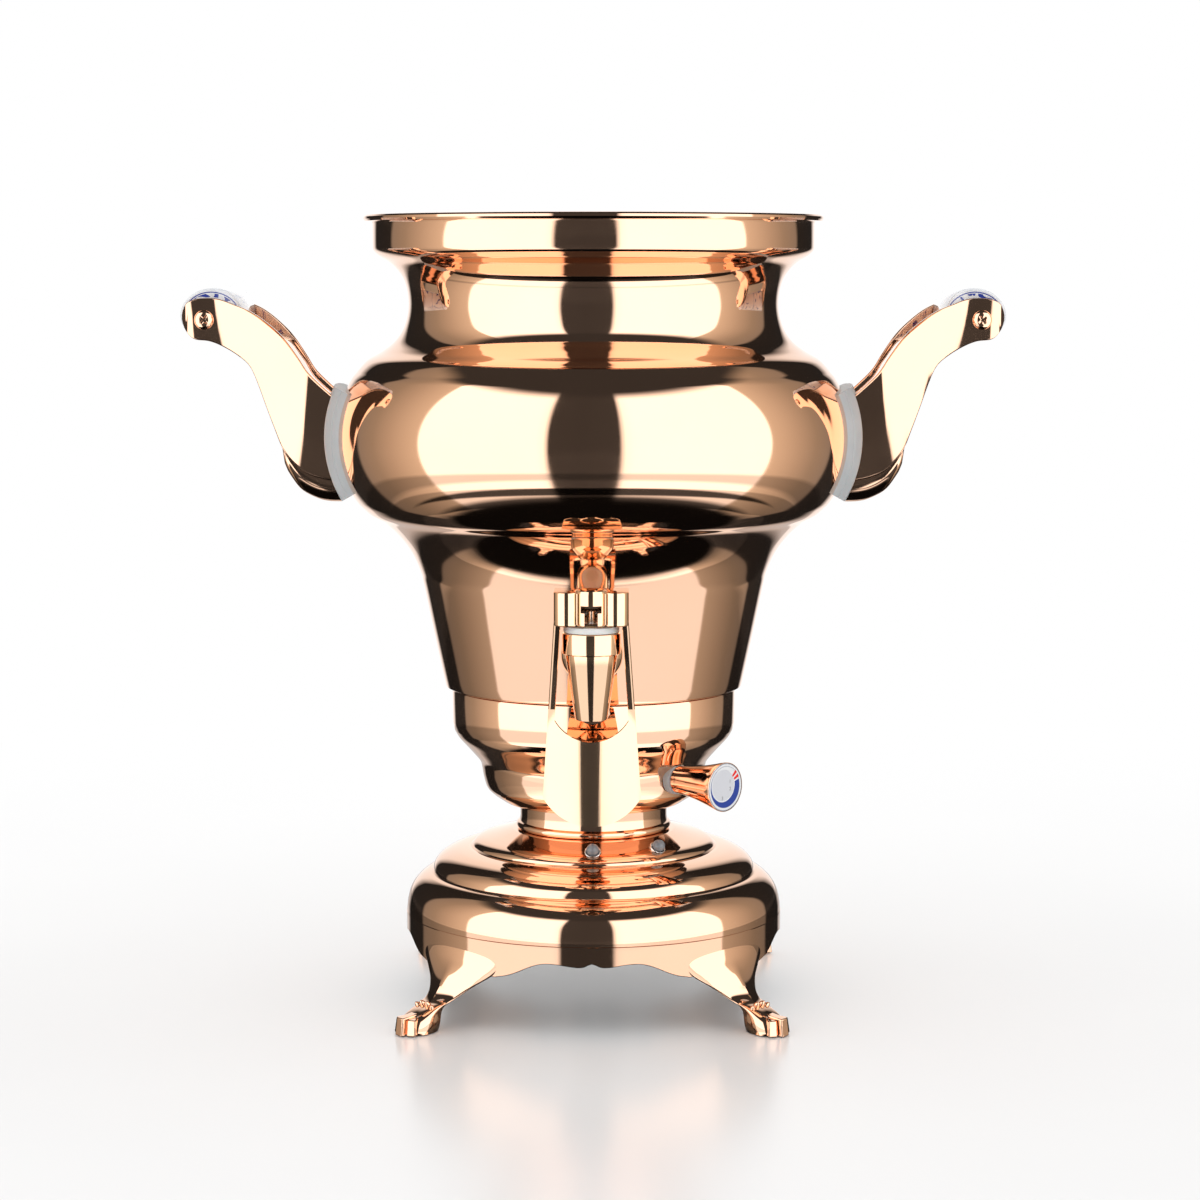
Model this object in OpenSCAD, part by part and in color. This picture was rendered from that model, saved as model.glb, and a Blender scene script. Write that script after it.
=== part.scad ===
// Electric samovar: copper vessel on a pedestal, two handles, lever tap and thermostat knob.
// Millimetres, +Z up, origin on the vessel's axis at floor level, tap towards -Y.

/* [Vessel] */
// Largest outer radius, at the belly
belly_r = 106; // [95:1:120]
// Height of the vessel from its foot to the lip
vessel_h = 194.2; // [180:0.2:220]
// Wall of every spun copper shell
wall_t = 1.2; // [0.8:0.1:1.6]
// Radius of the belly's rounding in section
belly_round = 46; // [44:0.5:50]
// Outer radius of the straight collar under the lip
collar_r = 90.4; // [88:0.2:93]
// Height of the straight collar
collar_h = 10.7; // [8:0.1:14]
// Outer radius of the rolled lip
lip_r = 94.1; // [93.5:0.1:98]
// Thickness of the rolled lip
lip_t = 3; // [2:0.1:4]
// Outer radius of the vessel's foot
bowl_foot_r = 61.7; // [60:0.1:63]
// Width of the flange turned in under the vessel
floor_flange_w = 8.5; // [6:0.5:12]
// Thickness of the tank floor
tank_floor_t = 1.5; // [1:0.1:3]

/* [Heater housing] */
// Outer radius of the band
band_r = 58.7; // [57:0.1:60]
// Height of band and lower tier together
housing_h = 49; // [46:0.5:54]
// Radius of the heat spreader plate
spreader_r = 49; // [44:0.5:51]
// Thickness of the heat spreader plate
spreader_t = 2.5; // [2:0.1:4]
// Radius of the heating element's ring
element_ring_r = 38; // [34:0.5:42]
// Radius of the heating element's tube
element_r = 3.5; // [2.5:0.1:4]

/* [Pedestal and base] */
// Outer radius of the pedestal neck
neck_r = 30.6; // [28:0.1:33]
// Height of the pedestal neck
neck_h = 10.5; // [9:0.1:14]
// Radius of the bead round the neck's foot
bead_r = 1.6; // [1.2:0.1:2]
// Outer radius of base dome and skirt
base_r = 78.2; // [74:0.1:84]
// Height of the base dome
dome_h = 34; // [30:0.5:40]
// Height of the seam between dome and skirt above the floor
foot_h = 36; // [33:0.5:40]
// Width of the flange inside the skirt
skirt_flange_w = 9; // [7:0.5:11]
// Thickness of the bottom plate
bottom_t = 1.5; // [1:0.1:2.5]
// Radius of the central tie rod
rod_r = 4; // [3:0.1:5]

/* [Handles] */
// Reach of a handle beyond the belly
handle_reach = 58.5; // [53:0.5:65]
// Height of a handle from its lobe to the top of the cheeks
handle_h = 83.1; // [78:0.5:90]
// Outer width across the two cheeks at the grip
handle_w = 66; // [60:0.5:70]
// Outer width across the cheeks where the handle meets the pad
handle_root_w = 37; // [33:0.5:40]
// Thickness of a cheek
cheek_t = 3.2; // [2.5:0.1:4]
// Thickness of the silicone pad
pad_t = 5; // [4:0.1:7]
// Half length of the porcelain grip
grip_half_l = 12; // [11:0.1:13]
// Half height of the porcelain grip
grip_half_h = 10.2; // [9:0.1:11]
// Radius of the bolt through the grip
grip_bolt_r = 1.9; // [1.5:0.1:2.3]
// Radius of the bolts that hold a handle on
handle_bolt_r = 2; // [1.5:0.1:2.4]
// Height between a handle's two bolts
handle_bolt_pitch = 20; // [16:0.5:24]

/* [Tap] */
// Distance from the vessel's axis to the spout's axis
tap_reach = 95; // [92:0.5:97]
// Height of the tap's shank above the vessel's foot
tap_rise = 23; // [20:0.5:26]
// Height of the bonnet's top above the shank's axis
bonnet_rise = 10.9; // [10:0.1:12]
// Height of the bonnet ring
bonnet_h = 8.4; // [7:0.1:9]
// Outer radius of the bonnet ring
bonnet_r = 11.3; // [11:0.1:11.5]
// Height of the spout from its outlet to the bonnet's top
spout_h = 34.1; // [32:0.1:38]
// Outer radius at the top of the spout
spout_r = 10.2; // [9.8:0.1:10.4]
// Outer radius at the spout's outlet
spout_tip_r = 6.3; // [5.8:0.1:7]
// Radius of the outlet bore
outlet_r = 4; // [3:0.1:4.4]
// Radius of the valve chamber
chamber_r = 7.3; // [7:0.1:7.6]
// Depth of the valve chamber
chamber_h = 17.4; // [16.5:0.1:18]
// Radius of the shank through the vessel's wall
shank_r = 7.7; // [7:0.1:8.2]
// Radius of the water way in the shank
shank_bore_r = 5; // [4:0.1:5.2]
// Radius of the round boss behind the spout
boss_r = 12.2; // [11.6:0.1:12.4]
// Radius of the stem
stem_r = 1.75; // [1.6:0.05:1.9]
// Radius of the seat cup's rim
cup_r = 10.8; // [10.4:0.1:11.2]
// Thickness of the seat cup's rim
cup_t = 2.6; // [2.2:0.1:3]

/* [Tap lever] */
// Distance from the stem to the edge that the lever rocks on
lever_throw = 9.5; // [9:0.1:10]
// Height of the lever's cap
cap_h = 14.1; // [13:0.1:16]
// Width across the rails under the cap
rail_span = 28.8; // [28.4:0.1:30]
// Width of one rail
rail_w = 2.6; // [2:0.1:2.6]
// Width of the tongue
tongue_w = 38.6; // [37:0.2:42]
// Height from the cap's foot to the tongue's tip
lever_drop = 82.6; // [80:0.2:86]
// Radius of the tongue's crosswise curve
tongue_curve_r = 35; // [32:0.5:40]
// Thickness of the tongue
tongue_t = 2.6; // [2:0.1:3]
// Backward lean of rails and tongue in degrees
lever_lean = 18.9; // [17:0.1:20]

/* [Thermostat knob] */
// Radius of the knob's face
knob_r = 10; // [9:0.1:10.5]
// Radius of the knob where it meets the bush
knob_neck_r = 5.6; // [5:0.1:6]
// Length of the knob
knob_l = 25.3; // [24:0.1:30]
// Height of the knob's axis above the housing's foot
knob_rise = 15.3; // [15:0.1:16]
// Direction of the knob, in degrees round from the tap
knob_angle = 45; // [40:1:60]
// Radius of the thermostat's shaft
shaft_r = 3; // [2.5:0.1:3.2]
// Radius of the bush's flange
bush_r = 6.2; // [5.8:0.1:6.6]

/* [Lamps and cord entry] */
// Radius of a lamp's lens
lamp_r = 2.6; // [2.2:0.1:2.8]
// Direction of the second lamp, in degrees round from the tap
lamp_angle = 37; // [30:1:45]
// Bore of the cord gland
gland_bore_r = 3.2; // [2.8:0.1:3.6]

/* [Hidden] */
$fn = 96;

copper = [0.86, 0.58, 0.44];
steel = [0.75, 0.76, 0.78];
silicone = [0.62, 0.63, 0.63];
porcelain = [0.95, 0.95, 0.93];

over = wall_t / 2;
running_gap = wall_t / 24;
seat_gap = wall_t / 4;
curve_steps = 4;

// Heights of the seams between the stacked pieces
neck_z = foot_h + dome_h;
housing_z = neck_z + neck_h;
vessel_z = housing_z + housing_h;
top_z = vessel_z + vessel_h;

// Point of a smooth curve between b and c, with a before them and d after
function curve_point(a, b, c, d, t) =
    0.5 * (2 * b + (c - a) * t + (2 * a - 5 * b + 4 * c - d) * t * t + (3 * b - a - 3 * c + d) * t * t * t);
// Smooth open curve through the points p
function curve(p) = concat(
    [for (i = [0 : len(p) - 2], k = [0 : curve_steps - 1])
        curve_point(p[max(i - 1, 0)], p[i], p[i + 1], p[min(i + 2, len(p) - 1)], k / curve_steps)],
    [p[len(p) - 1]]);
// Smooth closed curve through the points p
function closed_curve(p) = [for (i = [0 : len(p) - 1], k = [0 : curve_steps - 1])
    let (n = len(p)) curve_point(p[(i + n - 1) % n], p[i], p[(i + 1) % n], p[(i + 2) % n], k / curve_steps)];
function arc(centre, r, from, to, n) =
    [for (i = [0 : n]) centre + r * [cos(from + (to - from) * i / n), sin(from + (to - from) * i / n)]];
// Open path moved to its left by t, which is inwards for a profile drawn upwards
function inset(p, t) = [for (i = [0 : len(p) - 1])
    let (v = p[min(i + 1, len(p) - 1)] - p[max(i - 1, 0)]) p[i] + t * [-v[1], v[0]] / norm(v)];
function reversed(p) = [for (i = [len(p) - 1 : -1 : 0]) p[i]];
// Shares of a width and a height as points
function placed(shares, w, h, from = [0, 0]) = [for (s = shares) from + [s[0] * w, s[1] * h]];

module shell(path, t) {
    rotate_extrude() polygon(concat(path, reversed(inset(path, t))));
}
module tube(r_out, r_in, h) {
    difference() {
        cylinder(h = h, r = r_out);
        translate([0, 0, -over]) cylinder(h = h + 2 * over, r = r_in);
    }
}
// Outline in the X-Z plane made a slab of width w, centred on Y
module slab(points, w) {
    translate([0, w / 2, 0]) rotate([90, 0, 0]) linear_extrude(w) polygon(points);
}
module left_of_axis() {
    mirror([1, 0, 0]) children();
}

// Vessel: profile from the foot up, in shares of the belly's radius and the vessel's height
waist_shares = [[0.662, 0.219], [0.676, 0.25], [0.712, 0.293], [0.779, 0.336], [0.858, 0.369]];
throat_shares = [[0.876, 0.696], [0.813, 0.717], [0.766, 0.738], [0.73, 0.769], [0.715, 0.811],
    [0.732, 0.864], [0.775, 0.895], [0.83, 0.914]];
belly_share = 0.5345;
foot_corner = 1.5 * wall_t;
belly_c = [belly_r - belly_round, vessel_z + belly_share * vessel_h];
belly_from = -36;
belly_to = 33;
vessel_foot = [0, vessel_z];
bowl_path = [[bowl_foot_r, vessel_z + foot_corner]];
belly_path = arc(belly_c, belly_round, belly_from, belly_to, 14);
waist_path = curve(concat(placed(waist_shares, belly_r, vessel_h, vessel_foot), [belly_path[0]]));
throat_path = curve(concat([belly_path[14]], placed(throat_shares, belly_r, vessel_h, vessel_foot),
    [[collar_r, top_z - lip_t - collar_h]]));
body_path = concat(bowl_path,
    [for (i = [0 : len(waist_path) - 2]) waist_path[i]], belly_path,
    [for (i = [1 : len(throat_path) - 1]) throat_path[i]],
    [[collar_r, top_z - lip_t]]);
body_inside = inset(body_path, wall_t);
lip_round = arc([lip_r - lip_t / 2, top_z - lip_t / 2], lip_t / 2, -90, 90, 8);
foot_round = arc([bowl_foot_r - foot_corner, vessel_z + foot_corner], foot_corner, -90, -15, 4);
flange_in_r = bowl_foot_r - wall_t - floor_flange_w;

// Cone of the bowl between its foot and the waist, as a radius at a height
bowl_slope = (waist_shares[0][0] * belly_r - bowl_foot_r) / (waist_shares[0][1] * vessel_h - foot_corner);
function bowl_r(z) = bowl_foot_r + (z - vessel_z - foot_corner) * bowl_slope;

tap_z = vessel_z + tap_rise;
shank_hole_r = shank_r + seat_gap;
handle_bolt_hole_r = handle_bolt_r + seat_gap / 2;

module handle_bolt_places() {
    for (side = [-0.5, 0.5])
        translate([0, 0, belly_c[1] + side * handle_bolt_pitch]) rotate([0, 90, 0]) children();
}

module vessel_shell() {
    color(copper) difference() {
        rotate_extrude() polygon(concat(foot_round, body_path, lip_round,
            [[collar_r - wall_t, top_z]], reversed(body_inside),
            [[bowl_foot_r - wall_t, vessel_z + wall_t], [flange_in_r, vessel_z + wall_t],
            [flange_in_r, vessel_z]]));
        translate([0, 0, tap_z]) rotate([90, 0, 0]) cylinder(h = belly_r, r = shank_hole_r);
        for (turn = [0, 180]) rotate(turn)
            handle_bolt_places() cylinder(h = belly_r + over, r = handle_bolt_hole_r);
    }
}

// Tank floor, its seal and the heater under it
seal_t = wall_t;
seal_z = vessel_z + wall_t;
tank_floor_z = seal_z + seal_t;
tank_floor_r = bowl_foot_r - wall_t - seat_gap;
spreader_z = tank_floor_z - spreader_t;
element_z = spreader_z - element_r * 0.8;
element_gap_angle = 40;
terminal_l = element_r * 5;

module tank_floor() {
    color(steel) translate([0, 0, tank_floor_z]) cylinder(h = tank_floor_t, r = tank_floor_r);
}
module floor_seal() {
    color(silicone) translate([0, 0, seal_z])
        tube(tank_floor_r - wall_t / 2, flange_in_r + wall_t / 2, seal_t);
}
module heat_spreader() {
    color(steel) translate([0, 0, spreader_z]) cylinder(h = spreader_t, r = spreader_r);
}
// Nearly closed ring, flattened where it is brazed to the spreader, with two terminals
module heating_element() {
    color(steel) difference() {
        union() {
            translate([0, 0, element_z]) rotate(90 + element_gap_angle / 2)
                rotate_extrude(angle = 360 - element_gap_angle)
                    translate([element_ring_r, 0]) circle(r = element_r);
            for (side = [-1, 1]) rotate(90 + side * element_gap_angle / 2)
                translate([element_ring_r, 0, element_z - terminal_l])
                    cylinder(h = terminal_l, r = element_r);
        }
        translate([0, 0, spreader_z]) cylinder(h = spreader_t, r = spreader_r);
    }
}
cutout_r = element_r * 2;
cutout_h = element_r * 1.6;
module dry_boil_cutout() {
    color(steel) translate([-spreader_r * 0.38, 0, spreader_z - cutout_h]) {
        cylinder(h = cutout_h, r = cutout_r);
        for (side = [-1, 1]) translate([-cutout_r / 8, side * cutout_r / 2 - cutout_r / 8, -cutout_h / 2])
            cube([cutout_r / 4, cutout_r / 4, cutout_h]);
    }
}

// Heater housing: lower tier and band, in shares of the band's radius and the housing's height
tier_shares = [[0.562, 0], [0.62, 0.018], [0.669, 0.052], [0.726, 0.1], [0.76, 0.147], [0.782, 0.233],
    [0.792, 0.318], [0.802, 0.361], [0.828, 0.406], [0.891, 0.492], [0.958, 0.58], [0.993, 0.665]];
tier_path = concat(curve(placed(tier_shares, band_r, housing_h, [0, housing_z])),
    [[band_r, housing_z + 0.71 * housing_h], [band_r, vessel_z]]);
rod_hole_r = rod_r + seat_gap;
knob_z = housing_z + knob_rise;
bush_sleeve_r = bush_r * 0.7;

module on_knob_axis() {
    translate([0, 0, knob_z]) rotate([90, 0, knob_angle]) children();
}
// The housing's outer form as a solid, its face moved out by t
module housing_form(t) {
    rotate_extrude() polygon(concat([[0, housing_z]], inset(tier_path, -t), [[0, vessel_z]]));
}
module heater_housing() {
    color(copper) difference() {
        union() {
            shell(tier_path, wall_t);
            translate([0, 0, housing_z]) cylinder(h = wall_t, r = tier_shares[0][0] * band_r);
            // Rim turned in under the vessel's flange
            translate([0, 0, vessel_z - wall_t]) tube(band_r - wall_t / 2, spreader_r + seat_gap * 4, wall_t);
        }
        translate([0, 0, housing_z - over]) cylinder(h = wall_t + 2 * over, r = rod_hole_r);
        on_knob_axis() cylinder(h = band_r, r = bush_sleeve_r + seat_gap / 2);
    }
}

// Pedestal neck with a bead round its foot
neck_path = [[neck_r, neck_z + bead_r * 1.9], [neck_r * 0.995, neck_z + neck_h / 2], [neck_r, housing_z]];
module pedestal_neck() {
    color(copper) rotate_extrude() polygon(concat(
        [[neck_r - wall_t, neck_z]],
        arc([neck_r, neck_z + bead_r], bead_r, -90, 70, 10), neck_path,
        [[neck_r - wall_t, housing_z]]));
}

// Base dome: three swelling tiers, in shares of the base's radius and the dome's height
lower_tier_shares = [[1, 0], [0.993, 0.103], [0.975, 0.253], [0.95, 0.35], [0.907, 0.447], [0.864, 0.53]];
middle_tier_shares = [[0.85, 0.594], [0.818, 0.644], [0.744, 0.727], [0.656, 0.8]];
upper_tier_shares = [[0.62, 0.859], [0.578, 0.897], [0.535, 0.932], [0.471, 0.968], [0.43, 1]];
seam = [0, foot_h];
dome_path = concat(curve(placed(lower_tier_shares, base_r, dome_h, seam)),
    curve(placed(middle_tier_shares, base_r, dome_h, seam)),
    curve(placed(upper_tier_shares, base_r, dome_h, seam)));
// Inner face, cut off level with the seam
dome_inside = [for (v = inset(dome_path, wall_t)) [v[0], max(v[1], foot_h)]];
dome_top_r = upper_tier_shares[4][0] * base_r;

lamp_place = [0.556 * base_r, foot_h + 0.915 * dome_h];
lamp_tilt = 35;
lamp_l = lamp_r * 2.6;
bezel_r = lamp_r * 1.3;
bezel_back = lamp_l * 0.62;
bezel_l = lamp_l * 0.9;
gland_z = foot_h + 0.26 * dome_h;
gland_sleeve_r = gland_bore_r * 1.6;

module on_lamp(angle) {
    rotate(angle) translate([0, -lamp_place[0], lamp_place[1]]) rotate([lamp_tilt, 0, 0]) children();
}
module base_dome() {
    color(copper) difference() {
        union() {
            rotate_extrude() polygon(concat(dome_path, reversed(dome_inside)));
            translate([0, 0, neck_z - wall_t]) cylinder(h = wall_t, r = dome_top_r);
        }
        translate([0, 0, neck_z - wall_t - over]) cylinder(h = wall_t + 2 * over, r = rod_hole_r);
        for (angle = [0, lamp_angle]) on_lamp(angle)
            translate([0, 0, -lamp_l]) cylinder(h = 2 * lamp_l, r = bezel_r + seat_gap / 3);
        translate([0, 0, gland_z]) rotate([-90, 0, 0])
            cylinder(h = base_r + over, r = gland_sleeve_r + seat_gap / 3);
    }
}
module lamp_lens(angle) {
    color([0.8, 0.82, 0.84]) on_lamp(angle) {
        translate([0, 0, -lamp_l / 2]) cylinder(h = lamp_l * 0.75, r = lamp_r);
        translate([0, 0, lamp_l / 4]) sphere(r = lamp_r);
    }
}
module lamp_bezel(angle) {
    color(steel) on_lamp(angle) translate([0, 0, -bezel_back]) tube(bezel_r, lamp_r + seat_gap / 6, bezel_l);
}
module power_lamp_lens() { lamp_lens(0); }
module heat_lamp_lens() { lamp_lens(lamp_angle); }
module power_lamp_bezel() { lamp_bezel(0); }
module heat_lamp_bezel() { lamp_bezel(lamp_angle); }

module cord_gland() {
    color([0.2, 0.2, 0.2]) translate([0, base_r * 0.93, gland_z]) rotate([-90, 0, 0]) difference() {
        union() {
            cylinder(h = base_r * 0.09, r = gland_sleeve_r);
            translate([0, 0, base_r * 0.07]) cylinder(h = base_r * 0.035, r = gland_sleeve_r * 1.25);
        }
        translate([0, 0, -over]) cylinder(h = base_r, r = gland_bore_r);
    }
}

// Foot frame: scalloped skirt, cast with four legs that end in paws
skirt_low_share = 0.6;
scallop_half = base_r * 0.49;
scallop_shares = [[0, 0.755], [0.07, 0.775], [0.16, 0.8], [0.43, 0.815], [0.68, 0.79], [0.86, 0.71],
    [1, 0.64]];
scallop_half_path = curve(placed(scallop_shares, scallop_half, foot_h));
// Leg sections from the skirt down: place as a share of base_r, height as a share of foot_h, then half
// width, outward and inward thickness and toe depth as shares of base_r
leg_shares = [
    [0.9925, 0.95, 0.27, 0.004, 0.004, 0], [0.9925, 0.86, 0.27, 0.027, 0.004, 0],
    [0.9925, 0.76, 0.262, 0.042, 0.004, 0], [0.9925, 0.68, 0.243, 0.055, 0.004, 0],
    [0.998, 0.57, 0.17, 0.066, 0.03, 0], [1.022, 0.5, 0.13, 0.055, 0.042, 0],
    [1.042, 0.43, 0.104, 0.049, 0.047, 0], [1.072, 0.36, 0.084, 0.047, 0.047, 0],
    [1.11, 0.31, 0.07, 0.048, 0.048, 0.002], [1.15, 0.28, 0.068, 0.06, 0.06, 0.006],
    [1.19, 0.24, 0.074, 0.082, 0.082, 0.012], [1.222, 0.18, 0.086, 0.106, 0.106, 0.016],
    [1.24, 0.11, 0.094, 0.12, 0.12, 0.018], [1.248, 0.045, 0.095, 0.122, 0.122, 0.018],
    [1.248, 0, 0.09, 0.112, 0.112, 0.015]
];
leg_sides = 24;
toe_pitch_share = 0.62;
ridge_power = 1.35;
toe_power = 0.68;
back_power = 0.8;
// One point of a leg section: an oval with a ridge outwards, three toes at the paw, bent round the skirt
function leg_point(s, k) =
    let (a = 360 * k / leg_sides,
        front = max(cos(a), 0),
        toes = s[5] * front * cos(360 * sin(a) / toe_pitch_share),
        power = s[5] > 0 ? toe_power : ridge_power,
        bulge = front > 0 ? s[3] * pow(front, power) : -s[4] * pow(-cos(a), back_power),
        out = base_r * (bulge + toes),
        side = base_r * s[2] * sin(a),
        r = base_r * s[0] + out,
        turn = side / (base_r * s[0]) * 180 / PI)
    [r * cos(turn), r * sin(turn), foot_h * s[1]];
leg_points = [for (s = leg_shares, k = [0 : leg_sides - 1]) leg_point(s, k)];
leg_rings = len(leg_shares);
leg_faces = concat(
    [[for (k = [leg_sides - 1 : -1 : 0]) k]],
    [for (i = [0 : leg_rings - 2], k = [0 : leg_sides - 1])
        let (a = i * leg_sides + k, b = i * leg_sides + (k + 1) % leg_sides)
        [a, b, a + leg_sides]],
    [for (i = [0 : leg_rings - 2], k = [0 : leg_sides - 1])
        let (a = i * leg_sides + k, b = i * leg_sides + (k + 1) % leg_sides)
        [b, b + leg_sides, a + leg_sides]],
    [[for (k = [0 : leg_sides - 1]) (leg_rings - 1) * leg_sides + k]]);

module leg() {
    polyhedron(points = leg_points, faces = leg_faces);
}
// Skirt: a ring whose lower edge rises in a scallop between each two legs
skirt_sides = 180;
function skirt_edge(a) = let (x = base_r * abs(sin(a - 90 * round(a / 90))))
    x < scallop_half ? lookup(x, scallop_half_path) : foot_h * skirt_low_share;
skirt_points = [for (k = [0 : skirt_sides - 1], c = [0 : 3])
    let (a = 360 * k / skirt_sides, r = c < 2 ? base_r : base_r - wall_t,
        z = c == 1 || c == 2 ? foot_h : skirt_edge(a))
    [r * cos(a), r * sin(a), z]];
skirt_faces = [for (k = [0 : skirt_sides - 1], c = [0 : 3])
    let (m = 4 * k, n = 4 * ((k + 1) % skirt_sides), d = (c + 1) % 4)
    each [[m + c, m + d, n + d], [m + c, n + d, n + c]]];
screw_ring_r = base_r - skirt_flange_w * 0.6;
screw_r = wall_t * 1.25;
module foot_frame() {
    color(copper) difference() {
        union() {
            polyhedron(points = skirt_points, faces = skirt_faces);
            translate([0, 0, foot_h - wall_t]) tube(base_r - 0.75 * wall_t, base_r - skirt_flange_w, wall_t);
            for (turn = [45 : 90 : 315]) rotate(turn) leg();
        }
        for (turn = [0 : 90 : 270]) rotate(turn) translate([screw_ring_r, 0, foot_h - wall_t - over])
            cylinder(h = wall_t + 2 * over, r = screw_r + seat_gap / 3, $fn = 24);
    }
}

// Bottom plate and the screws that hold it under the skirt's flange
bottom_z = foot_h - wall_t - bottom_t;
bottom_r = base_r - 2 * wall_t - seat_gap;
module bottom_plate() {
    color(steel) difference() {
        translate([0, 0, bottom_z]) cylinder(h = bottom_t, r = bottom_r);
        translate([0, 0, bottom_z - over]) cylinder(h = bottom_t + 2 * over, r = rod_hole_r);
        for (turn = [0 : 90 : 270]) rotate(turn) translate([screw_ring_r, 0, bottom_z - over])
            cylinder(h = bottom_t + 2 * over, r = screw_r + seat_gap / 3);
    }
}
module bottom_screws() {
    color(steel) for (turn = [0 : 90 : 270]) rotate(turn) translate([screw_ring_r, 0, bottom_z]) {
        translate([0, 0, -screw_r]) cylinder(h = screw_r, r = screw_r * 2);
        cylinder(h = bottom_t + wall_t * 2, r = screw_r);
    }
}

// Central tie rod, from the heat spreader to the nut under the bottom plate
washer_t = wall_t;
nut_h = rod_r * 1.2;
module tie_rod() {
    color(steel) translate([0, 0, bottom_z - washer_t - nut_h - over])
        cylinder(h = spreader_z - bottom_z + washer_t + nut_h + over, r = rod_r);
}
module tie_washer() {
    color(steel) translate([0, 0, bottom_z - washer_t]) tube(rod_r * 2.6, rod_r + seat_gap / 4, washer_t);
}
module tie_nut() {
    color(steel) translate([0, 0, bottom_z - washer_t - nut_h]) difference() {
        cylinder(h = nut_h, r = rod_r * 1.9, $fn = 6);
        translate([0, 0, -over]) cylinder(h = nut_h + 2 * over, r = rod_r + running_gap);
    }
}

// Handles: outlines in shares of the reach beyond the belly and of the handle's height
handle_z = vessel_z + 0.3985 * vessel_h;
handle_from = [belly_r, handle_z];
cheek_top_shares = [[1, 0.92], [0.961, 0.981], [0.893, 1], [0.761, 1], [0.648, 0.971], [0.543, 0.937],
    [0.43, 0.878], [0.331, 0.81], [0.233, 0.712], [0.161, 0.634], [0.008, 0.532], [-0.12, 0.46]];
cheek_low_shares = [[-0.12, 0.1], [0.013, 0.11], [0.134, 0.13], [0.234, 0.168], [0.333, 0.253],
    [0.398, 0.373], [0.449, 0.478], [0.502, 0.591], [0.552, 0.674], [0.633, 0.728], [0.731, 0.771],
    [0.818, 0.795], [0.918, 0.8], [0.974, 0.845]];
web_top_shares = [[0.36, 0.77], [0.331, 0.785], [0.233, 0.69], [0.161, 0.612], [0.008, 0.512], [-0.12, 0.44]];
web_low_shares = [[-0.12, 0], [0.035, 0.001], [0.13, 0.018], [0.231, 0.058], [0.297, 0.118], [0.338, 0.172],
    [0.352, 0.237], [0.375, 0.36], [0.42, 0.478], [0.465, 0.585]];
cheek_outline = concat(curve(placed(cheek_top_shares, handle_reach, handle_h, handle_from)),
    curve(placed(cheek_low_shares, handle_reach, handle_h, handle_from)));
web_outline = concat(curve(placed(web_top_shares, handle_reach, handle_h, handle_from)),
    curve(placed(web_low_shares, handle_reach, handle_h, handle_from)));
root_x = belly_r - 0.12 * handle_reach;
// Plan of a cheek's outer face, which spreads from root to grip: place as a share of the reach, then share
// of the spread
spread_shares = [[-0.12, 0], [0.11, 0], [0.23, 0.05], [0.36, 0.224], [0.48, 0.475], [0.61, 0.747],
    [0.69, 0.873], [0.766, 0.952], [0.85, 0.991], [0.92, 1], [1.02, 1]];
spread_path = curve(placed(spread_shares, handle_reach, (handle_w - handle_root_w) / 2,
    [belly_r, handle_root_w / 2]));
cheek_plan = concat(spread_path, reversed(inset(spread_path, -cheek_t)));
// Plan of what lies between the cheeks' outer faces, moved in by t
function fork_plan(t) = let (side = inset(spread_path, -t))
    concat(side, reversed([for (v = side) [v[0], -v[1]]]));
grip_c = [belly_r + 0.82 * handle_reach, handle_z + 0.92 * handle_h];
grip_bolt_place = [belly_r + 0.8475 * handle_reach, 0, handle_z + 0.898 * handle_h];
grip_shares = [[0.98, -0.06], [0.88, 0.41], [0.56, 0.82], [0.165, 1.02], [-0.21, 1.05], [-0.55, 0.96],
    [-0.82, 0.69], [-1, 0.22], [-1, -0.4], [-0.76, -0.8], [-0.08, -0.88], [0.53, -0.76], [0.86, -0.45]];
grip_outline = closed_curve(placed(grip_shares, grip_half_l, grip_half_h, grip_c));
grip_hole_r = grip_bolt_r + seat_gap / 3;
bolt_head_r = grip_bolt_r * 2.05;
bolt_head_h = grip_bolt_r * 1.15;
bolt_end_l = grip_bolt_r * 1.8;
bolt_nut_h = grip_bolt_r * 1.5;

// Body of the belly's rounding, made larger by t
module belly_ring(t) {
    rotate_extrude() translate(belly_c) circle(r = belly_round + t);
    translate([0, 0, belly_c[1] - belly_round - t]) cylinder(h = 2 * (belly_round + t), r = belly_c[0]);
}
module grip_bolt_axis() {
    translate(grip_bolt_place) rotate([90, 0, 0]) children();
}
handle_bolt_l = 0.24 * handle_reach;
module handle() {
    color(copper) difference() {
        union() {
            intersection() {
                slab(cheek_outline, handle_w + 2 * over);
                for (side = [0, 1]) mirror([0, side, 0]) linear_extrude(top_z) polygon(cheek_plan);
            }
            intersection() {
                slab(web_outline, handle_w);
                linear_extrude(top_z) polygon(fork_plan(cheek_t / 2));
            }
        }
        belly_ring(pad_t);
        grip_bolt_axis() translate([0, 0, -handle_w]) cylinder(h = 2 * handle_w, r = grip_hole_r);
        handle_bolt_places()
            cylinder(h = belly_r + handle_bolt_l + seat_gap, r = handle_bolt_r + running_gap);
    }
}
module handle_right() { handle(); }
module handle_left() { left_of_axis() handle(); }

module grip() {
    color(porcelain) difference() {
        intersection() {
            slab(grip_outline, handle_w);
            linear_extrude(top_z) polygon(fork_plan(cheek_t + seat_gap));
        }
        grip_bolt_axis() translate([0, 0, -handle_w]) cylinder(h = 2 * handle_w, r = grip_hole_r);
    }
}
module grip_right() { grip(); }
module grip_left() { left_of_axis() grip(); }

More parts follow.
